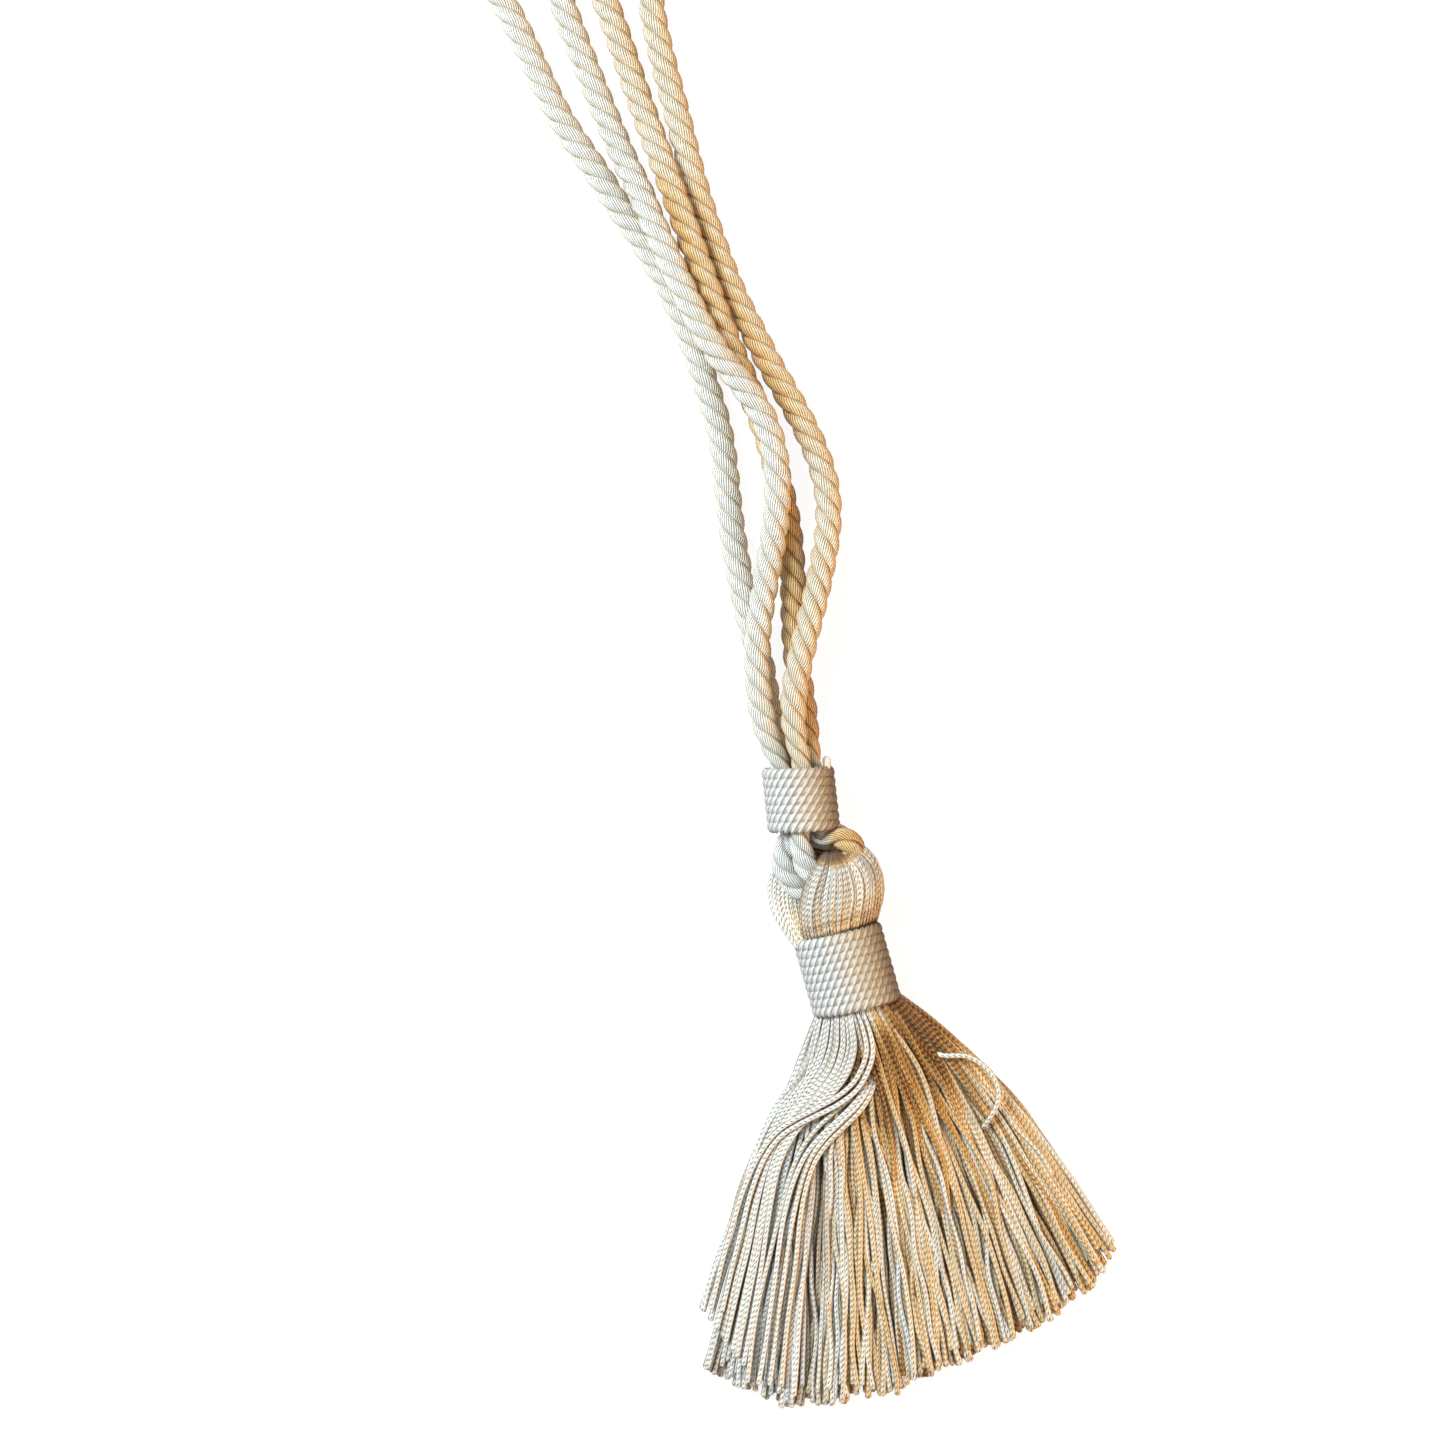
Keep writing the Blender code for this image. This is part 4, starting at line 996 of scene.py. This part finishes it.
def fringe_plan(rng, share, t, wander):
    """Plan lines and lengths of strands at shares of the fringe's width, read at the shares t.

    Each is a cubic Bezier curve from its root to its place on the fringe's edge, bowed by an
    angle that grows from left to right. Sine waves move it aside, less at the two edges.
    """
    count = len(share)
    first, last = EDGE_ROWS[0, 0] + EDGE_INSET, EDGE_ROWS[-1, 0] - EDGE_INSET
    tip_share = np.clip(share + wander * rng.standard_normal(count) / count, 0.0, 1.0)
    angle = first + tip_share * (last - first)
    reach = np.interp(angle, EDGE_ROWS[:, 0], EDGE_ROWS[:, 1])
    reach = reach * (1.0 - UNEVEN_CUT * rng.random(count) ** 1.3)
    root = on_neck(-NECK_LENGTH / 2 + ROOT_DEPTH, ROOT_HALF_WIDTH * root_place(share), 0.0)[:, :2]
    tip = on_neck(-NECK_LENGTH / 2, 0.0, 0.0)[:2] + reach[:, None] * heading(angle)
    chord = tip - root
    length = np.linalg.norm(chord, axis=1)
    chord_angle = np.degrees(np.arctan2(chord[:, 0], -chord[:, 1]))
    bow = BOW_LEFT + (BOW_RIGHT - BOW_LEFT) * share
    arm = (length / 3)[:, None]
    plan = bezier(root, root + arm * heading(chord_angle + bow),
                  tip - arm * heading(chord_angle - bow / 2), tip, t)
    waves = sum(chance_wave(rng, count, size, times * t) for times, size in STRAND_WAVES)
    waves = waves * (1 - 0.7 * np.abs(2 * share - 1) ** 4)[:, None] * ease(t / 0.25)
    return plan + waves[..., None] * left_of(plan), length


def root_place(share):
    """Where strands leave the neck, from -1 at the left to 1: closer together at the sides."""
    return 0.97 * np.sin(math.pi / 2 * (2 * share - 1))


def fringe_height(rng, share, t, layer):
    """Height of strands: it eases from their place in the neck's section to their layer on
    the surface, with a slow wave. Under the sweeping lock they lie lower."""
    count = len(share)
    level = ROOT_LEVELS[layer]
    root = (axis_height(NECK_BORE, NECK_FLATTENING)
            + level * ROOT_HALF_HEIGHT * np.sqrt(1 - root_place(share) ** 2))
    root = root - 1.6 * rng.random((count, 1)) * np.sign(level)
    rest = STRAND_WIDTH / 2 + layer * STRAND_RISE + 0.5 * rng.random((count, 1))
    settled = ease(t / SETTLED_AT)
    height = (1 - settled) * root + settled * rest
    height = height + chance_wave(rng, count, 0.7, t) * ease(t / 0.3) * (layer > 0)
    under_lock = (1 - ease((share - 0.32) / 0.12)) * (1 - ease(t / 0.5))
    return np.maximum(height - UNDER_LOCK_DROP * under_lock, STRAND_WIDTH / 2 - 0.1)


def fringe_colour(rng, share, t, layer):
    """Tone and shadow of strands: white at the left edge and golden, as painted warm light and
    shade, from a third across, with picked strands paler at random, partly their own tone and
    partly a painted highlight. Painted shade deepens them in a bell beside the middle, near the
    root at the right and in lower layers, and a painted highlight makes them paler just under the
    neck's middle."""
    rightness = ease((share - 0.15) / 0.2)
    uneven = (0.04 + 0.07 * rightness) * rng.standard_normal(share.shape)
    pale = 1.16 - 0.56 * rightness + uneven
    picked = rng.random(share.shape) < 0.50 - 0.20 * share
    pale = np.where(picked, pale + 0.26 * rightness, pale)
    below = TOP_LAYER - layer
    tone = pale - (0.14 - 0.05 * rightness) * below + 0.06 * ease(t / 0.8)
    bell = np.exp(-((share - 0.50) / 0.22) ** 2)
    tone = tone - 0.42 * rightness * bell * np.exp(-((t - 0.22) / 0.15) ** 2)
    at_root = np.exp(-((t - 0.03) / 0.065) ** 2) * bell
    upper_half = 1 - ease(t / 0.5)
    at_right = ease((share - 0.6) / 0.2) * upper_half
    tone = np.clip(tone + 0.50 * at_root - 0.60 * at_right, 0.16, 1.16)
    deep = 0.21 * below * (1 - 0.72 * ease((t - 0.5) / 0.5)) * (1 - 0.5 * at_right)
    shadow = deep + 0.26 * at_right + 0.25 * rightness * bell * upper_half * (1 - at_root)
    return tone, shadow + 0.08 * rng.random(share.shape)


def fringe_strands(name, count, layer, rings, sides, seed, wander):
    """One layer of strands, from the neck's end to the fringe's edge, of the plan, height and
    colour above. They are 1 mm wide at the root and widen over the first third."""
    rng = np.random.default_rng(seed)
    share = (np.arange(count) + 0.5 + 0.5 * rng.uniform(-1, 1, count)) / count
    t = strand_steps(rings)
    plan, length = fringe_plan(rng, share, t, wander)
    share = share[:, None]
    centres = np.concatenate([plan, fringe_height(rng, share, t, layer)[..., None]], axis=2)
    width = 1.0 + (STRAND_WIDTH - 1.0) * ease(t / 0.3)
    width = width * (1 + 0.07 * rng.standard_normal((count, 1))) * tip_shape(t, length)
    tone, shadow = fringe_colour(rng, share, t, layer)
    return yarn_tubes(name, centres, width, width * STRAND_FLATNESS, tone,
                      rng.random(count) * 3, sides, shadow)


def between_edges(name, left, right, count, seed, pale):
    """Strands spread between two edge routes: point = left (1 - s) + right s, with s drifting
    along each strand, over a crown that sinks towards the tips."""
    rng = np.random.default_rng(seed)
    t = strand_steps(90)
    left, right = (shares_along(photo_line(route), t) for route in (left, right))
    share = 0.80 * (np.arange(count) + 0.5 + 0.3 * rng.uniform(-1, 1, count)) / count
    drift = share[:, None] + 0.10 * rng.standard_normal((count, 1)) * ease((t - 0.2) / 0.6)
    centres = left * (1 - drift[..., None]) + right * drift[..., None]
    swell = (2.0 + 11.0 * (1 - ease(t / 0.5))) * (share * (1 - share))[:, None]
    centres[..., 2] += 0.6 * rng.random((count, 1)) + swell
    length = travelled(left)[-1] * (1 - 0.07 * rng.random(count))
    tone = pale - 0.06 * share[:, None] + 0.05 * rng.standard_normal((count, 1))
    width = STRAND_WIDTH * (0.6 + 0.4 * ease(t / 0.25)) * tip_shape(t, length)
    return yarn_tubes(name, centres, width, width * STRAND_FLATNESS, tone,
                      rng.random(count) * 3)


def lock_strands(name, route, count, opening, seed, pale):
    """A lock of strands side by side along one route. Strand k lies k times the opening beside
    it, waves a little, and the outer strands of the lock lie lower at its start."""
    rng = np.random.default_rng(seed)
    line = photo_line(route)
    t = strand_steps(len(line))
    line = shares_along(line, t)
    place_in_lock = (np.arange(count) - (count - 1) / 2)[:, None]
    wave = chance_wave(rng, count, 0.5, 1.6 * t) * ease(t / 0.3)
    offset = place_in_lock * np.interp(t, OPENING_AT, opening) + wave
    plan = line[:, :2] + offset[..., None] * left_of(line[:, :2])
    height = line[:, 2] - 0.12 * place_in_lock ** 2 * (1 - t) + 0.4 * rng.random((count, 1))
    centres = np.concatenate([plan, height[..., None]], axis=2)
    tone = pale + 0.06 * rng.standard_normal((count, 1))
    width = STRAND_WIDTH * (0.55 + 0.45 * ease(t / 0.12)) * tip_shape(t, travelled(line)[-1])
    return yarn_tubes(name, centres, width, width * STRAND_FLATNESS, tone,
                      rng.random(count) * 3)


# Stage

def make_stage():
    """The camera straight above, a pale square floor that glows a little, and soft square
    panels of light that look at the middle of the view."""
    scene = bpy.context.scene
    data = bpy.data.cameras.new("camera")
    data.lens = CAMERA_LENS
    data.sensor_width = SENSOR_WIDTH
    camera = bpy.data.objects.new("camera", data)
    scene.collection.objects.link(camera)
    camera.location = Vector((*VIEW_CENTRE, CAMERA_HEIGHT)) * MM
    scene.camera = camera

    mesh = bpy.data.meshes.new("floor")
    corners = [(-FLOOR_HALF, -FLOOR_HALF, 0.0), (FLOOR_HALF, -FLOOR_HALF, 0.0),
               (FLOOR_HALF, FLOOR_HALF, 0.0), (-FLOOR_HALF, FLOOR_HALF, 0.0)]
    mesh.from_pydata(corners, [], [(0, 1, 2, 3)])
    floor = bpy.data.objects.new("floor", mesh)
    scene.collection.objects.link(floor)
    recipe = Recipe("pale_floor")
    recipe.finish((FLOOR_GREY, FLOOR_GREY, FLOOR_GREY, 1.0), 0.9, 0.0, 0.1)
    recipe.shader.inputs["Emission Color"].default_value = WHITE
    recipe.shader.inputs["Emission Strength"].default_value = FLOOR_GLOW
    mesh.materials.append(recipe.material)

    for name, spot, size, energy, colour in PANELS:
        data = bpy.data.lights.new(name, "AREA")
        data.shape = "SQUARE"
        data.size = size
        data.energy = energy
        data.color = colour
        lamp = bpy.data.objects.new(name, data)
        scene.collection.objects.link(lamp)
        lamp.location = Vector(spot) * MM
        away = Vector(spot) - Vector((*VIEW_CENTRE, 0.0))
        lamp.rotation_euler = away.to_track_quat("Z", "Y").to_euler()
    world = bpy.data.worlds.new("studio")
    world.use_nodes = True
    background = world.node_tree.nodes["Background"]
    background.inputs["Color"].default_value = WHITE
    background.inputs["Strength"].default_value = WORLD_LIGHT
    scene.world = world
    scene.view_settings.view_transform = "Standard"


# All pieces

def add_ropes():
    """The two hanging loops, which are free ropes, and the two bights of the eye."""
    satin = rope_satin()
    routes = rope_routes()
    # Each loop's pale tone, and its painted shade where the loops lie side by side
    loops = {"loop_left": (LEFT_LOOP_TONE, 0.0), "loop_right": (right_loop_tone, LEFT_SHADE)}
    for name, (pale, painted_side_shade) in loops.items():
        route = routes[name]
        meshes = rope_mesh(name, route, ROPE_RADIUS, SQUEEZE_LENGTH, pale, painted_side_shade)
        piece = add_piece(name + "_rope", meshes, satin, "rope", name)
    for name, route in (("eye_rope_left", routes["eye_rope_left"]),
                        ("eye_rope_right", lifted(routes["eye_rope_right"]))):
        meshes = rope_mesh(name, route, EYE_ROPE_RADIUS, EYE_SQUEEZE_LENGTH, eye_rope_tone)
        add_piece(name + "_rope", meshes, satin, "rope", name)


def add_bindings():
    """The whipping round the four rope ends, with its cut end, and the one round the neck."""
    cord = binding_cord()
    upper = binding_mesh("upper", UPPER_CENTRE, UPPER_TILT, UPPER_BORE, UPPER_LENGTH,
                         UPPER_TURNS, 1.0)
    neck = binding_mesh("neck", (0.0, 0.0), NECK_TILT, NECK_BORE, NECK_LENGTH, NECK_TURNS,
                        NECK_FLATTENING)
    add_piece("upper_whipping", [upper, cord_end_mesh("cord_end")], cord, "binding",
              "upper_binding")
    add_piece("neck_whipping", [neck], cord, "binding", "neck_binding")


def add_tassel():
    """The head's yarns, layer under layer, then the fringe from the surface up and its locks."""
    yarn = chainette_yarn()
    add_piece("head_yarns", [front_yarns("front", 24, 0.0, 1.04, 5),
                             left_yarns("left", 9, 0.0, 1.03)], yarn, "yarn", "tassel")
    # Lower pale tones and shadows for the yarns under the top ones: painted shade under the
    # layers
    steps = [front_yarns("step", 1, 1.6 * k, 0.75, 40 + k, -0.03, 0.01) for k in range(1, 6)]
    inner = [front_yarns("second", 23, 1.2, 0.62, 6, shadow=0.5),
             front_yarns("third", 14, 3.2, 0.3, 7, shadow=0.5), *steps,
             left_yarns("left_under", 8, 1.2, 0.8), eye_yarns("eye", 7),
             side_yarns("sides", 44, -205.0, 38.0, 4.5, 0.9, 0.85),
             side_yarns("inner", 30, -190.0, 10.0, 4.0, 2.6, 0.4)]
    add_piece("head_inner_yarns", inner, yarn, "yarn")
    layers = {"fringe_under": [fringe_strands("low", 82, layer, 38, 6, 20 + layer, 1.2)
                               for layer in (0, 1, 2)],
              "fringe_middle": [fringe_strands("middle", 94, 3, 56, 8, 30, 2.8)],
              "fringe_top": [fringe_strands("top", 104, TOP_LAYER, 74, 10, 31, 3.6)],
              "fringe_lock": [between_edges("sweep", SWEEP_LEFT, SWEEP_RIGHT, 13, 3, 1.08),
                              lock_strands("over", OVER_ROUTE, 2, (1.5, 2.0, 2.0, 3.3), 4, 1.08),
                              lock_strands("under", UNDER_ROUTE, 4, (1.0, 1.7, 2.2, 3.5), 5, 1.0),
                              lock_strands("loose", LOOSE_ROUTE, 1, (1.0,) * 4, 4, 0.9)]}
    for name, meshes in layers.items():
        add_piece(name, meshes, yarn, "yarn")


make_stage()
add_ropes()
add_bindings()
add_tassel()
